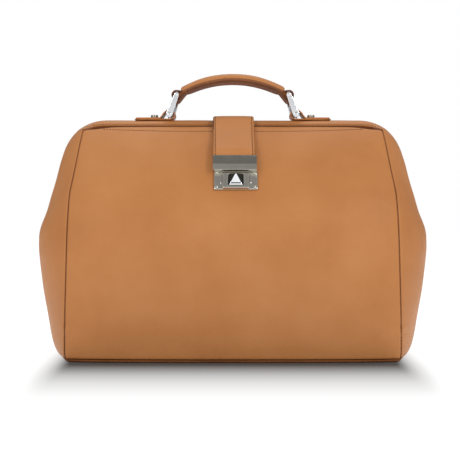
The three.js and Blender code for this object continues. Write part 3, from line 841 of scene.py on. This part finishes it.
def base_outline(z, inset, along, across):
    """Outline of the bag at a height near its base, with so many steps along a panel and across a gusset."""
    depth = seam_depth(z)
    outline = []
    for way in (1, -1):
        for u in np.linspace(-1, 1, along)[:-1]:
            x = u * (seam_x(z) - inset)
            outline.append((way * x, -way * (panel_bulge(u, z) - inset), z))
        for v in np.linspace(-1, 1, across)[:-1]:
            t = v * (depth - inset) / depth
            x = seam_x(z) + (half_width(z) - seam_x(z)) * (1 - abs(t) ** SKIN_ROUNDNESS) - inset
            outline.append((way * x, way * depth * t, z))
    return outline


def build_base():
    """Base leather with a rounded edge, on which the bag stands, in the darker leather that paints its shade.
    """
    edge = ((0.0, 3.4), (0.25, 2.0), (1.0, 1.15), (2.0, 1.0), (2.8, 1.4), (3.0, 3.0))
    data = tube_data([base_outline(z, inset, 50, 36) for z, inset in edge])
    add_piece("base_leather", data, shaded_under_leather, smooth_angle=50, body="bag", replaces=("base_panel",))


def build_lining(name, side, *nodes):
    """Lining of one half of the bag: a gusset half, a panel and the other gusset half in one sheet."""
    inset = LEATHER + 1.0
    places = [7.6] + list(np.arange(12, 214, 5.0))
    places += [CORNER_START_Z + b for b in (0.05, 0.15, 0.25, 0.35)]
    layers = []
    for extra in (0.0, 0.7):
        rows = []
        for place in places:
            split = split_at(place)
            gusset = []
            for f in np.linspace(1, 0.03, 12):
                t = side * (1 - f * (1 + split if side == FRONT else 1 - split))
                x, y, z = skin_point(place, t, rolled=False)
                shift = math.copysign(inset + extra, t) * smooth(0.3, 0.03, f)
                gusset.append((x - inset - extra, y - shift, z))
            z = gusset[-1][2]
            limit = (seam_x(z) - inset - extra - 1) / seam_x(z)
            front = []
            for u in np.linspace(limit, -limit, 40):
                depth = panel_bulge(u, z)
                depth += soft_form(u * seam_x(z), z, side, 40) * 0.8 - inset - extra
                depth = mix(depth, min(depth, HEM_BACK_Y - 0.3 - extra), smooth(229, 235, z))
                front.append((u * seam_x(z), side * depth, z))
            rows.append(gusset + front + [(-x, y, z) for x, y, z in reversed(gusset)])
        layers.append(rows)
    sheet = shell_data(*layers)
    obj = add_piece(name, sheet, lining_cloth, smooth_angle=60, slot="lining_cloth", replaces=nodes)
    follow_frame(obj, side)


def build_floor_sheet(name, low, high, material, slot, *nodes):
    """Sheet that covers the inside of the base."""
    data = tube_data([base_outline(z, 3.8, 30, 22) for z in (low, high)])
    add_piece(name, data, material, slot=slot, body="bag", replaces=nodes)


def build_hem_stitches(part, side):
    path = []
    for x in np.arange(-141, 141.1, 2.0):
        z = stitch_height(x)
        below, point, above = (Vector(panel_surface(x / seam_x(z), h, side)) for h in (z - 3, z, z + 3))
        up = above - below
        path.append((point, Vector((0, side, 0)) - up * (side * up.y / up.length_squared)))
    data = stitch_data(path, 3.3, 2.4, 0.42, 0.12)
    add_piece(f"hem_stitches_{part}", data, seam_thread, body=f"{part}_half")


def build_body():
    build_panel("front_panel", FRONT, "front_panel_lower", "front_panel_middle", "front_panel_upper")
    build_panel("rear_panel", REAR, "rear_panel_lower", "rear_panel_middle", "rear_panel_upper")
    for word, hand in SIDES:
        build_gusset(f"gusset_{word}_front", hand, FRONT, f"gusset_{word}_upper")
        build_gusset(f"gusset_{word}_rear", hand, REAR, f"gusset_{word}_lower")
        for part, side in HALVES:
            build_welt(f"seam_{word}_{part}", hand, side)
            build_web(f"gusset_pleat_{word}_{part}", hand, side)
    build_base()
    build_lining("lining_front", FRONT, "lining")
    build_lining("lining_rear", REAR)
    low, high = (corner[2] for corner in node_box("base_board"))
    build_floor_sheet("base_stiffener", low, high, board, "fibreboard", "base_board")
    build_floor_sheet("lining_floor", high + 0.3, high + 1.1, lining_cloth, "lining_cloth")
    for part, side in HALVES:
        build_hem_stitches(part, side)


# ---- Top bar ----
STIFFENER_HALF = (133.0, 15.2)   # half length and half depth of the board in the top bar
STIFFENER_Z = (249.2, 252.2)


def bar_stations():
    """The roll's cross-sections, as skin_section gives them, from its left end to its right."""
    corner = [skin_section(CORNER_START_Z + b) for b in np.linspace(MOUTH_B, 1, 26)]
    half, power = corner[-1][2:]
    straight = [((x, BAR_TOP), (x, ROLL_EDGE_Z), half, power) for x in np.linspace(132, 0, 45)]
    right = corner + straight
    left = [((-m[0], m[1]), (-c[0], c[1]), h, p) for m, c, h, p in right[:-1]]
    return left + right[::-1]


def build_top_bar():
    """Leather roll over the bar, its underside painted dark as shade, with its stitches and the board inside.
    """
    ts = [1, 0.995, 0.98, 0.96, 0.93, 0.89, 0.83, 0.75, 0.65, 0.52, 0.36, 0.18, 0]
    ts += [-t for t in reversed(ts[:-1])]
    under = [(-0.9, 0.5), (-2.2, 1.2), (-3.6, 2.4), (-4.7, 4.6)]
    rings = []
    for middle, centre, half, power in bar_stations():
        away = Vector((middle[0] - centre[0], middle[1] - centre[1]))
        height = away.length
        away.normalize()
        ring = []
        for t in ts:
            rise = 1 - abs(t) ** power
            x, z, y = centre[0] + away.x * height * rise, centre[1] + away.y * height * rise, half * t
            swell = 0.35 * wave(x, y, z, 38, 8.5) * rise
            ring.append((x + away.x * swell, y, z + away.y * swell))
        for way, points in ((-1, under), (1, under[::-1])):
            for back, inward in points:
                ring.append((centre[0] + away.x * back, way * (half - inward), centre[1] + away.y * back))
        rings.append(ring)
    roll = add_piece(
        "top_bar_roll", tube_data(rings), rolled_leather, inked_and_shaded_leather,
        smooth_angle=60, body="rear_half", replaces=("top_bar_cover",),
    )
    # The roll's underside faces get the darker leather: painted shade.
    columns = len(ts) + 2 * len(under)
    for face in roll.data.polygons:
        if len(face.vertices) == 4 and max(v % columns for v in face.vertices) >= len(ts):
            face.material_index = 1

    low, high = STIFFENER_Z
    length, depth = STIFFENER_HALF
    edge = [(-depth, low), (depth, low), (depth, high), (-depth, high)]
    data = prism_data(edge, -length, length, lambda a, b, c: (c, a, b))
    stiffener = bevelled("top_bar_stiffener", [data], 0.6)
    finish_piece(stiffener, board, slot="fibreboard", body="rear_half", replaces=("top_bar_board",))
    for part, side in HALVES:
        path = []
        for middle, centre, half, _ in bar_stations()[6:-6]:
            away = Vector((middle[0] - centre[0], 0, middle[1] - centre[1])).normalized()
            point = Vector((centre[0], side * (half - 0.15), centre[1])) + away * 1.4
            path.append((point, Vector((0, side, 0)) + away * 0.3))
        add_piece(f"bar_stitches_{part}", stitch_data(path, 3.4, 2.4, 0.34, 0.05), thread, body="rear_half")


# ---- Handle ----
TAB_TIP_X = 108.0
TAB_HALF = 14.0
TAB_PLY = 1.25
TAB_STITCH = (105.0, 11.6)       # the tab's line of stitches: how far out, and how far to each side
STUD_X = 87.0
RING_PLATE = (15.0, 17.4)        # inner and outer face of a ring's side plates
RING_BAR_RADIUS = 2.3
RING_PIN_RADIUS = 1.9
HANDLE_ARC_Z = 182.5
HANDLE_RADIUS = 115.0
HANDLE_HALF = 12.4
HANDLE_PLY = 2.0
COVER_TURN = 0.492               # the cover's half angle round the middle of the arc


def turned_sideways(a, b, c):
    return (a, c, b)


def build_tab(word, hand):
    """Two-ply leather tab folded round the ring's lower bar and held by a stud."""
    low = BAR_TOP + 0.25 + TAB_PLY / 2
    high = low + TAB_PLY
    loop = RING_LOW[2] - low
    back = [(RING_LOW[0] + 6.2, RING_LOW[2] + 1.7), (80, high + 0.3), (86, high), (97, high)]
    path = [(TAB_TIP_X, low), (100, low), (92, low), (84, low), (76, low)]
    path += arc(RING_LOW[0], RING_LOW[2], loop, -math.pi / 2, -1.78 * math.pi, 20)
    path += smooth_path(back + [(TAB_TIP_X - 1.2, high)], 5)
    data = ribbon_data(path, TAB_HALF - 0.1, TAB_PLY, lambda a, b, w: (hand * a, w, b), 0.0)
    tab = add_piece(
        f"handle_tab_{word}_leather", data, rolled_leather, inked_and_shaded_leather,
        smooth_angle=50, body="rear_half", replaces=(f"handle_tab_{word}",),
    )
    paint_faces(tab, 1, lambda p: abs(p.x) > TAB_TIP_X - 0.35)

    top = high + TAB_PLY / 2
    end, edge = TAB_STITCH
    run = [(x, -edge) for x in np.arange(81, 105, 2.0)] + [(end, y) for y in np.arange(-edge, 11.7, 1.95)]
    run += [(x, edge) for x in np.arange(103, 80, -2.0)]
    path = [((hand * x, y, top), (0, 0, 1)) for x, y in run]
    add_piece(f"tab_stitches_{word}", stitch_data(path, 3.2, 2.3, 0.38, 0.08), thread, body="rear_half")

    crown = node_box(f"tab_stud_{word}")[1][2]
    stud_profile = [(3.9, top - 0.3), (4.1, top), (4.1, crown - 0.6), (3.9, crown - 0.2), (3.5, crown)]
    stud_profile += [(2.6, crown - 0.05), (2.3, crown - 0.35), (0.6, crown - 0.35)]
    rings = []
    for r, z in stud_profile:
        rings.append([(hand * STUD_X + r * math.cos(a), r * math.sin(a), z) for a in circle(28)])
    add_piece(
        f"tab_stud_{word}_head", tube_data(rings), dark_nickel,
        smooth_angle=50, slot="nickel", body="rear_half", replaces=(f"tab_stud_{word}",),
    )


def build_ring(word, hand):
    """Two flat chrome plates joined by a bar through the tab and a pin through the handle."""
    turn = math.atan2(RING_HIGH[2] - RING_LOW[2], RING_HIGH[0] - RING_LOW[0])
    outline = arc(RING_LOW[0], RING_LOW[2], 3.7, turn + math.pi / 2, turn + 1.5 * math.pi, 10)
    outline += arc(RING_HIGH[0], RING_HIGH[2], 2.6, turn - math.pi / 2, turn + math.pi / 2, 10)
    parts, bars = [], []
    for way in (-1, 1):
        low, high = sorted(way * r for r in RING_PLATE)
        parts.append(prism_data(outline, low, high, lambda a, b, c: (hand * a, c, b)))
    plates = bevelled(f"handle_ring_{word}_plates", parts, 0.75, 4)
    finish_piece(plates, chrome, slot="chrome", body=f"ring_{word}", replaces=(f"handle_ring_{word}",))
    for pin, radius in ((RING_LOW, RING_BAR_RADIUS), (RING_HIGH, RING_PIN_RADIUS)):
        for way in (-1, 1):
            start, end = (hand * pin[0], 0, pin[2]), (hand * pin[0], way * (RING_PLATE[1] - 0.1), pin[2])
            bars.append(rod_data(start, end, radius, 20, 0.45))
    name = f"handle_ring_{word}_bars"
    add_piece(name, join_data(bars), chrome, smooth_angle=50, slot="chrome", body=f"ring_{word}")


def handle_point(turn, out, across):
    radius = HANDLE_RADIUS + out
    return (radius * math.sin(turn), across, HANDLE_ARC_Z + radius * math.cos(turn))


def build_handle_strap():
    """Flat strap under the handle, looped round both rings, and the folded leather filling its loops; all
    painted darker as shade.
    """
    radius = HANDLE_RADIUS + 0.3
    half = [(x, HANDLE_ARC_Z + math.sqrt(radius ** 2 - x * x)) for x in (0, 12, 24, 36, 44)]
    half += [(50, 287.1), (56, 286.9)]
    loop = arc(RING_HIGH[0] + 0.5, RING_HIGH[2] + 0.1, 4.5, 1.5, -1.1, 16) + [(62.6, 276.7)]
    tail = [(60.4, 276.6), (58.2, 279.0), (55.6, 282.4), (53.2, 285.2)]
    right = smooth_path(half, 4) + loop + smooth_path(tail, 4)
    path = [(-x, z) for x, z in reversed(right[1:])] + right
    data = ribbon_data(path, HANDLE_HALF, HANDLE_PLY, lambda a, b, w: (a, w, b), 0.0)
    strap = add_piece(
        "handle_strap_leather", data, shaded_under_leather, painted_edge,
        smooth_angle=50, slot="edge_leather", body="handle", replaces=("handle_strap",),
    )
    paint_faces(strap, 1, lambda p: abs(p.y) > HANDLE_HALF - 0.35)

    # The folds fill the gaps inside the loops with the darker leather: painted shade.
    wedge = ((50.6, 286.4), (58.2, 286.0), (59.2, 281.4), (60.8, 278.6), (56.4, 281.4), (51.6, 285.4))
    folds = []
    for way in (-1, 1):
        core = arc(way * (RING_HIGH[0] + 0.4), RING_HIGH[2], 3.7, 0, 1.9 * math.pi, 19)
        for outline, gap in (([(way * x, z) for x, z in wedge], 0.9), (core, 1.5)):
            folds.append(prism_data(outline, gap - HANDLE_HALF, HANDLE_HALF - gap, turned_sideways))
    fold = bevelled("handle_strap_fold", folds, 0.25)
    finish_piece(fold, shaded_under_leather, slot="edge_leather", body="handle")


def build_handle_cover():
    """Rolled cover of the handle, with a stitched hem along both lower edges."""
    section = [
        (0, 1.2), (6, 1.2), (10.6, 1.1), (12.2, 1.25), (12.75, 1.8), (12.85, 2.6), (12.8, 3.3), (12.5, 3.8),
        (12.0, 4.05), (11.85, 4.6),
    ]
    for a in np.linspace(0.2, math.pi / 2 - 0.08, 11):
        section.append((11.9 * math.cos(a) ** 0.8, 4.4 + 5.4 * math.sin(a) ** 0.9))
    section.append((0, 9.85))
    loop = section + [(-y, out) for y, out in reversed(section[1:-1])]
    ends = [0.92, 0.95, 0.97, 0.985, 0.993, 0.998, 1]
    rings = []
    for s in [-e for e in reversed(ends)] + list(np.linspace(-0.9, 0.9, 61)) + ends:
        turn = s * COVER_TURN
        end = max(0, (abs(s) - 0.9) / 0.1)
        fade = math.sqrt(max(0, 1 - end ** 4)) * 0.35 + 0.65
        taper = 1 - 0.1 * smooth(0.35, 1, abs(s))
        ring = []
        for y, out in loop:
            height = 1.2 + (out - 1.2) * fade * taper
            lump = 0.25 * wave(HANDLE_RADIUS * turn, y, out, 22, 6.5) * smooth(3.8, 7, out)
            crease = 0.12 * math.sin(HANDLE_RADIUS * turn * 0.9 + y) * smooth(5, 4, out) * smooth(3.6, 4, out)
            across = (y + math.copysign(crease, y)) * (0.9 + 0.1 * fade)
            ring.append(handle_point(turn, height + lump, across))
        rings.append(ring)
    cover = add_piece(
        "handle_cover_leather", tube_data(rings), rolled_leather, inked_and_shaded_leather,
        smooth_angle=60, body="handle", replaces=("handle_cover",),
    )

    def is_hem(p):
        return math.hypot(p.x, p.z - HANDLE_ARC_Z) - HANDLE_RADIUS < 3.95 and abs(p.y) > 10

    # The lower hems get the darker leather: partly their edge ink, partly painted shade on the cover's
    # underside.
    paint_faces(cover, 1, is_hem)
    for part, side in HALVES:
        line = [(handle_point(t, 2.75, side * 12.8), (0, side, 0)) for t in np.linspace(-0.45, 0.45, 60)]
        add_piece(f"handle_stitches_{part}", stitch_data(line, 3.1, 2.2, 0.36, 0.05), thread, body="handle")


# ---- Closing strap ----
LOCK_TOP_Z = 197.0
LOCK_DEPTH = panel_depth(LOCK_TOP_Z) + 1
STRAP_Z = (STRAP_LOW[2] + STRAP_HIGH[2]) / 2
STRAP_THICKNESS = 3.0


def on_slope(x, out, up):
    """Point given by its distance out of the front panel and up its slope from the lock plate's top."""
    c, s = math.cos(LOCK_SLOPE), math.sin(LOCK_SLOPE)
    return (LOCK_X + x, -LOCK_DEPTH - out * c + up * s, LOCK_TOP_Z + out * s + up * c)


def out_of_slope(x, up, out):
    return on_slope(x, out, up)


def strap_path():
    """The strap's middle line as (y, z) points, from its sewn end on the top bar down to the hasp."""
    fixed = [(16.6, STRAP_Z), (8, STRAP_Z + 0.2), (0, STRAP_Z + 0.25), (-8, STRAP_Z + 0.2), (-16, STRAP_Z)]
    hanging = [(-22.4, STRAP_Z - 1.2), (-27.4, STRAP_Z - 4.8), (-32.6, 246.9), (-39.5, 240.6), (-47.2, 234.2)]
    end = ((5.7, 22.5), (5.9, 18.8), (5.0, 15.6), (5.0, 10), (5.0, 4.4))
    return smooth_path(fixed + hanging + [on_slope(0, out, up)[1:] for out, up in end], 5)


def strap_place(a, b, w):
    lean = 0.55 * smooth(252, 205, b)
    pinch = 1 - 0.012 * smooth(250, 235, b)
    return (STRAP_X - 0.3 + lean + w * pinch, a, b)


def build_strap():
    """Strap that bends at the front edge of the top bar, between its sewn end and its hanging flap."""
    path = strap_path()
    data = ribbon_data(
        path[::-1], STRAP_HALF - 0.3, STRAP_THICKNESS, strap_place, 0.55, groove_at=2.4, groove=0.35,
    )
    strap = add_piece(
        "closing_strap_leather", data, leather, painted_edge,
        smooth_angle=55, replaces=("strap_flap", "strap_anchor"),
    )
    paint_faces(strap, 1, lambda p: abs(p.x - STRAP_X - 0.1) > STRAP_HALF - 0.75)
    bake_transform(strap)
    lift = STRAP_THICKNESS / 2 + 0.15
    for word, way in SIDES:
        line = []
        for (a0, b0), (a, b), (a1, b1) in zip(path, path[1:-9], path[2:]):
            length = math.hypot(a1 - a0, b1 - b0)
            normal = (0, (b1 - b0) / length, -(a1 - a0) / length)
            point = strap_place(a + normal[1] * lift, b + normal[2] * lift, way * (STRAP_HALF - 2.7))
            line.append((point, normal))
        stitches = add_piece(f"strap_stitches_{word}", stitch_data(line, 3.2, 2.3, 0.38, 0.1), thread)
        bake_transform(stitches)


# ---- Lock ----
CASE = (13.6, -22.5, -5.3)       # half width, lower and upper edge of the lock's raised case
WELL = (7.8, -19.5, -6.4)        # and of the well in it
BUTTON_UP = -13.6                # the button's place on the slope


def rounded_rectangle(half_x, low, high, radius, steps=4):
    corners = [
        (half_x - radius, high - radius, 0), (-half_x + radius, high - radius, math.pi / 2),
        (-half_x + radius, low + radius, math.pi), (half_x - radius, low + radius, 1.5 * math.pi),
    ]
    return [p for x, z, start in corners for p in arc(x, z, radius, start, start + math.pi / 2, steps)]


def slope_rings(levels):
    """Rings from (outline, distance out) levels."""
    return [[on_slope(x, out, up) for x, up in outline] for outline, out in levels]


def sleeve_data(levels):
    """Closed frame through (outline, distance out) levels, the last joined to the first again."""
    verts, faces = tube_data(slope_rings(levels), capped=False)
    cols = len(levels[0][0])
    last = (len(levels) - 1) * cols
    for c in range(cols):
        faces.append((last + c, last + (c + 1) % cols, (c + 1) % cols, c))
    return verts, faces


def case_outline(inset):
    half, low, high = CASE
    return rounded_rectangle(half - inset, low + inset, high - inset, 0.9)


def well_outline(grow):
    half, low, high = WELL
    return rounded_rectangle(half + grow, low - grow * 0.8, high + grow * 0.6, 0.7)


def build_lock():
    """Plate, raised case with the button's well, two ribs and four rivet heads."""
    low, high = node_box("lock_plate")
    height = (LOCK_TOP_Z - low[2]) / math.cos(LOCK_SLOPE)
    half = (high[0] - low[0]) / 2
    metal = {"slot": "nickel", "body": "front_half"}
    edge = [(0.0, 0.1), (0.2, 1.3), (0.6, 1.75), (1.3, 1.85)]
    levels = [(rounded_rectangle(half - inset, -height + inset, -inset, 1.4), out) for inset, out in edge]
    add_piece("lock_plate_face", tube_data(slope_rings(levels)), nickel, replaces=("lock_plate",), **metal)

    levels = [(case_outline(inset), out) for inset, out in ((0, 1.7), (0, 4.6), (0.2, 5.0), (0.6, 5.2))]
    levels += [(well_outline(grow), out) for grow, out in ((0.4, 5.2), (0.12, 5.0), (0, 4.6), (0, 1.9))]
    add_piece(
        "lock_case_frame", sleeve_data(levels), nickel, dark_nickel,
        smooth_angle=38, replaces=("lock_case",), **metal,
    )
    # The well inside the case is painted near-black as shade.
    levels = [(rounded_rectangle(8.0, -19.8, -6.2, 0.7), out) for out in (1.7, 1.95)]
    add_piece("lock_case_well", tube_data(slope_rings(levels)), shadow_nickel, **metal)

    ribs = []
    for way in (-1, 1):
        outline = [(way * x, up) for x, up in ((14.0, -3.6), (16.2, -4.4), (16.2, -15.6), (14.0, -16.8))]
        ribs.append(prism_data(outline, 1.6, 3.7, out_of_slope))
    finish_piece(bevelled("lock_ribs", ribs, 0.45, 3), nickel, **metal)
    for i, (x, up) in enumerate(((-19.6, -3.4), (19.6, -3.4), (-19.6, -20), (19.6, -20)), 1):
        data = rod_data(on_slope(x, 1.5, up), on_slope(x, 2.4, up), 1.5, 20, 0.55)
        rivet = f"lock_rivet_{i}"
        add_piece(f"{rivet}_head", data, nickel, smooth_angle=50, replaces=(rivet,), **metal)


def build_hasp():
    """Hasp folded round the end of the strap, its upper face painted dark as a dark reflection."""
    low, high = node_box("lock_plate")
    half = (high[0] - low[0]) / 2
    outline = [
        (2.2, -3.3), (8.8, -3.3), (8.8, 3.5), (7.9, 14.3), (7.0, 14.3), (7.0, 3), (3.0, 3), (3.0, 14.3),
        (0.9, 14.3), (0.9, 0.4), (2.2, 0.4),
    ]
    shift = HASP_X - LOCK_X
    data = prism_data(outline, -half + shift, half + shift, lambda a, b, c: on_slope(c, a, b))
    hasp = bevelled("hasp_clip", [data], 0.4, 3)
    finish_piece(hasp, nickel, dark_nickel, slot="nickel", body="closing_strap", replaces=("hasp",))
    origin = Vector(on_slope(0, 0, 0))
    out, up = Vector(on_slope(0, 1, 0)) - origin, Vector(on_slope(0, 0, 1)) - origin
    # The upper face gets the darker nickel: painted dark reflection.
    paint_faces(hasp, 1, lambda p: (p - origin).dot(up) > 4.2 and (p - origin).dot(out) > 7.2)


def build_button():
    """Pyramid button: its lower face painted bright as a highlight, its sides and the groove near its lower
    edge painted near-black as shade.
    """
    levels = []
    for out, half, low, high in (
        (3.6, 7.0, -5.8, 6.3), (4.9, 7.0, -5.8, 6.3), (5.3, 6.8, -5.6, 6.1), (5.5, 6.5, -5.3, 5.9),
        (10.3, 1.0, 3.7, 5.6), (10.65, 0.7, 4.1, 5.3),
    ):
        radius = min(0.5, half * 0.5)
        levels.append((rounded_rectangle(half, BUTTON_UP + low, BUTTON_UP + high, radius, 3), out))
    metal = {"slot": "nickel", "body": "button"}
    head = add_piece(
        "lock_button_head", tube_data(slope_rings(levels)), nickel, shadow_nickel, chrome,
        smooth_angle=32, replaces=("lock_button",), **metal,
    )
    middle = on_slope(0, 0, 0)[0]
    # Side faces get the near-black nickel as painted shade; the lower face gets the chrome as a painted
    # highlight.
    for face in head.data.polygons:
        if abs(face.center.x / MM - middle) > 0.9 and abs(face.normal.x) > 0.35:
            face.material_index = 1
        elif face.normal.y < -0.85 and face.normal.z < 0.15:
            face.material_index = 2
    # The groove is painted near-black as shade.
    line = [(x, -4.5 + BUTTON_UP) for x in (-5.2, 5.2)] + [(x, -3.5 + BUTTON_UP) for x in (4.7, -4.7)]
    add_piece("lock_button_groove", prism_data(line, 5.4, 6.5, out_of_slope), shadow_nickel, **metal)
    data = rod_data(on_slope(0, 4.5, BUTTON_UP), on_slope(0, 2.6, BUTTON_UP), 2.4, 20)
    add_piece("lock_button_stem", data, steel, **metal)


# ---- CAD parts that stay, with better materials ----
KEPT_FINISHES = {
    "handle_filler": board, "front_frame": steel, "rear_frame": steel, "hinge_rivet_left": steel,
    "hinge_rivet_right": steel, "hinge_washer_left": steel, "hinge_washer_right": steel,
    "lock_back_plate": steel, "button_spring": steel,
}


def finish_kept_parts():
    for name, finish in KEPT_FINISHES.items():
        materials = frame["nodes"][name].data.materials
        if not materials:
            materials.append(finish)
        for index in range(len(materials)):
            materials[index] = finish


# ---- Floor, light and camera, in metres ----
FLOOR_HALF = 6.0
SHADOW_X = 0.163                 # the painted shadow on the floor reaches this far to each side
SHADOW_Y = 0.070                 # and this far to the front and back
SHADOW_ROUND = 0.025
SHADOW_REACH = 0.22              # pure white begins this far outside it
LIGHT_TARGET = (0, 0, 0.15)
LIGHTS = (                       # name, place, size, watts
    ("key_right", (0.95, -1.25, 0.85), (0.25, 0.4), 6.0),
    ("fill_left", (-0.85, -1.25, 0.85), (0.35, 0.5), 4),
    ("overhead", (0, 0.35, 1.5), (1.2, 0.7), 5),
)
CAMERA_PLACE = (-0.003, -1.045, 0.153)
CAMERA_DIP = 1.04                # degrees below level
CAMERA_LENS = 73.3               # millimetres, on a sensor 36 wide


def add_to_scene(name, data):
    obj = bpy.data.objects.new(name, data)
    bpy.context.scene.collection.objects.link(obj)
    return obj


def build_floor():
    """White floor that glows away from the bag, with a painted shadow round the bag that fades out to pure
    white.
    """
    mesh = bpy.data.meshes.new("floor")
    corners = [(FLOOR_HALF * x, FLOOR_HALF * y, 0) for x, y in ((-1, -1), (1, -1), (1, 1), (-1, 1))]
    mesh.from_pydata(corners, [], [(0, 1, 2, 3)])
    m = new_material("white_floor_painted_shadow")
    split = m.add("ShaderNodeSeparateXYZ", {"Vector": m.position()}).outputs
    beyond_x = m.math("MAXIMUM", m.math("SUBTRACT", m.math("ABSOLUTE", split["X"]), SHADOW_X), 0.0)
    beyond_x = m.math("MULTIPLY", beyond_x, 6.5)
    before_y = m.math("SUBTRACT", m.math("MULTIPLY", split["Y"], -1.0), SHADOW_Y)
    behind_y = m.math("MULTIPLY", m.math("SUBTRACT", split["Y"], SHADOW_Y), 3.0)
    beyond_y = m.math("MAXIMUM", m.math("MAXIMUM", before_y, behind_y), 0.0)
    squares = m.math("ADD", m.math("MULTIPLY", beyond_x, beyond_x), m.math("MULTIPLY", beyond_y, beyond_y))
    distance = m.math("SUBTRACT", m.math("SQRT", squares), SHADOW_ROUND)
    # Emission rises with distance from the bag's footprint: painted shadow near the bag, painted white glow
    # further out.
    stops = ((10, 0.0), (37, 0.19), (71, 0.45), (112, 0.67), (158, 0.84), (220, 1.0))
    painted_shadow_glow = m.ramp(m.span(distance, 0.0, SHADOW_REACH), [(place / 220, grey(value)) for place, value in stops])
    m.set(Base_Color=(*grey(0.13), 1), Roughness=0.9, Specular_IOR_Level=0.1)
    m.set(Emission_Color=painted_shadow_glow, Emission_Strength=1.0)
    mesh.materials.append(m.material)
    add_to_scene("floor", mesh)


def build_world():
    """White backdrop, in a room that is brightest low in front of the bag and high behind it."""
    world = bpy.data.worlds.new("studio")
    m = Nodes(world, "Background")
    way = m.add("ShaderNodeSeparateXYZ", {"Vector": m.add("ShaderNodeTexCoord").outputs["Generated"]}).outputs

    def room(*stops):
        return m.ramp(way["Z"], [(place, grey(value)) for place, value in stops])

    before = room(
        (0.0, 0.92), (0.12, 0.8), (0.3, 0.66), (0.55, 0.46), (0.78, 0.37), (0.89, 0.33), (1.0, 0.45),
    )
    behind = room((0.0, 0.2), (0.15, 0.24), (0.4, 0.5), (0.8, 0.5), (1.0, 0.45))
    all_round = m.blend_color(m.span(way["Y"], -0.6, -0.05), before, behind)
    seen = m.add("ShaderNodeLightPath").outputs["Is Camera Ray"]
    m.set(Color=m.blend_color(seen, all_round, grey(1)))
    bpy.context.scene.world = world


def add_light(name, place, size, power):
    light = bpy.data.lights.new(name, "AREA")
    light.shape = "RECTANGLE"
    light.size, light.size_y = size
    light.energy = power
    obj = add_to_scene(name, light)
    obj.location = place
    obj.rotation_euler = (Vector(LIGHT_TARGET) - Vector(place)).to_track_quat("-Z", "Y").to_euler()


def add_camera():
    data = bpy.data.cameras.new("camera")
    data.lens = CAMERA_LENS
    data.sensor_width = 36
    camera = add_to_scene("camera", data)
    camera.location = CAMERA_PLACE
    camera.rotation_euler = (math.radians(90 - CAMERA_DIP), 0, 0)
    bpy.context.scene.camera = camera


# ---- Everything together ----
build_body()
build_top_bar()
for side_word, side_hand in SIDES:
    build_tab(side_word, side_hand)
    build_ring(side_word, side_hand)
build_handle_strap()
build_handle_cover()
build_strap()
build_lock()
build_hasp()
build_button()
finish_kept_parts()

build_floor()
build_world()
for light_settings in LIGHTS:
    add_light(*light_settings)
add_camera()
bpy.context.scene.view_settings.view_transform = "Standard"

bpy.context.view_layer.update()
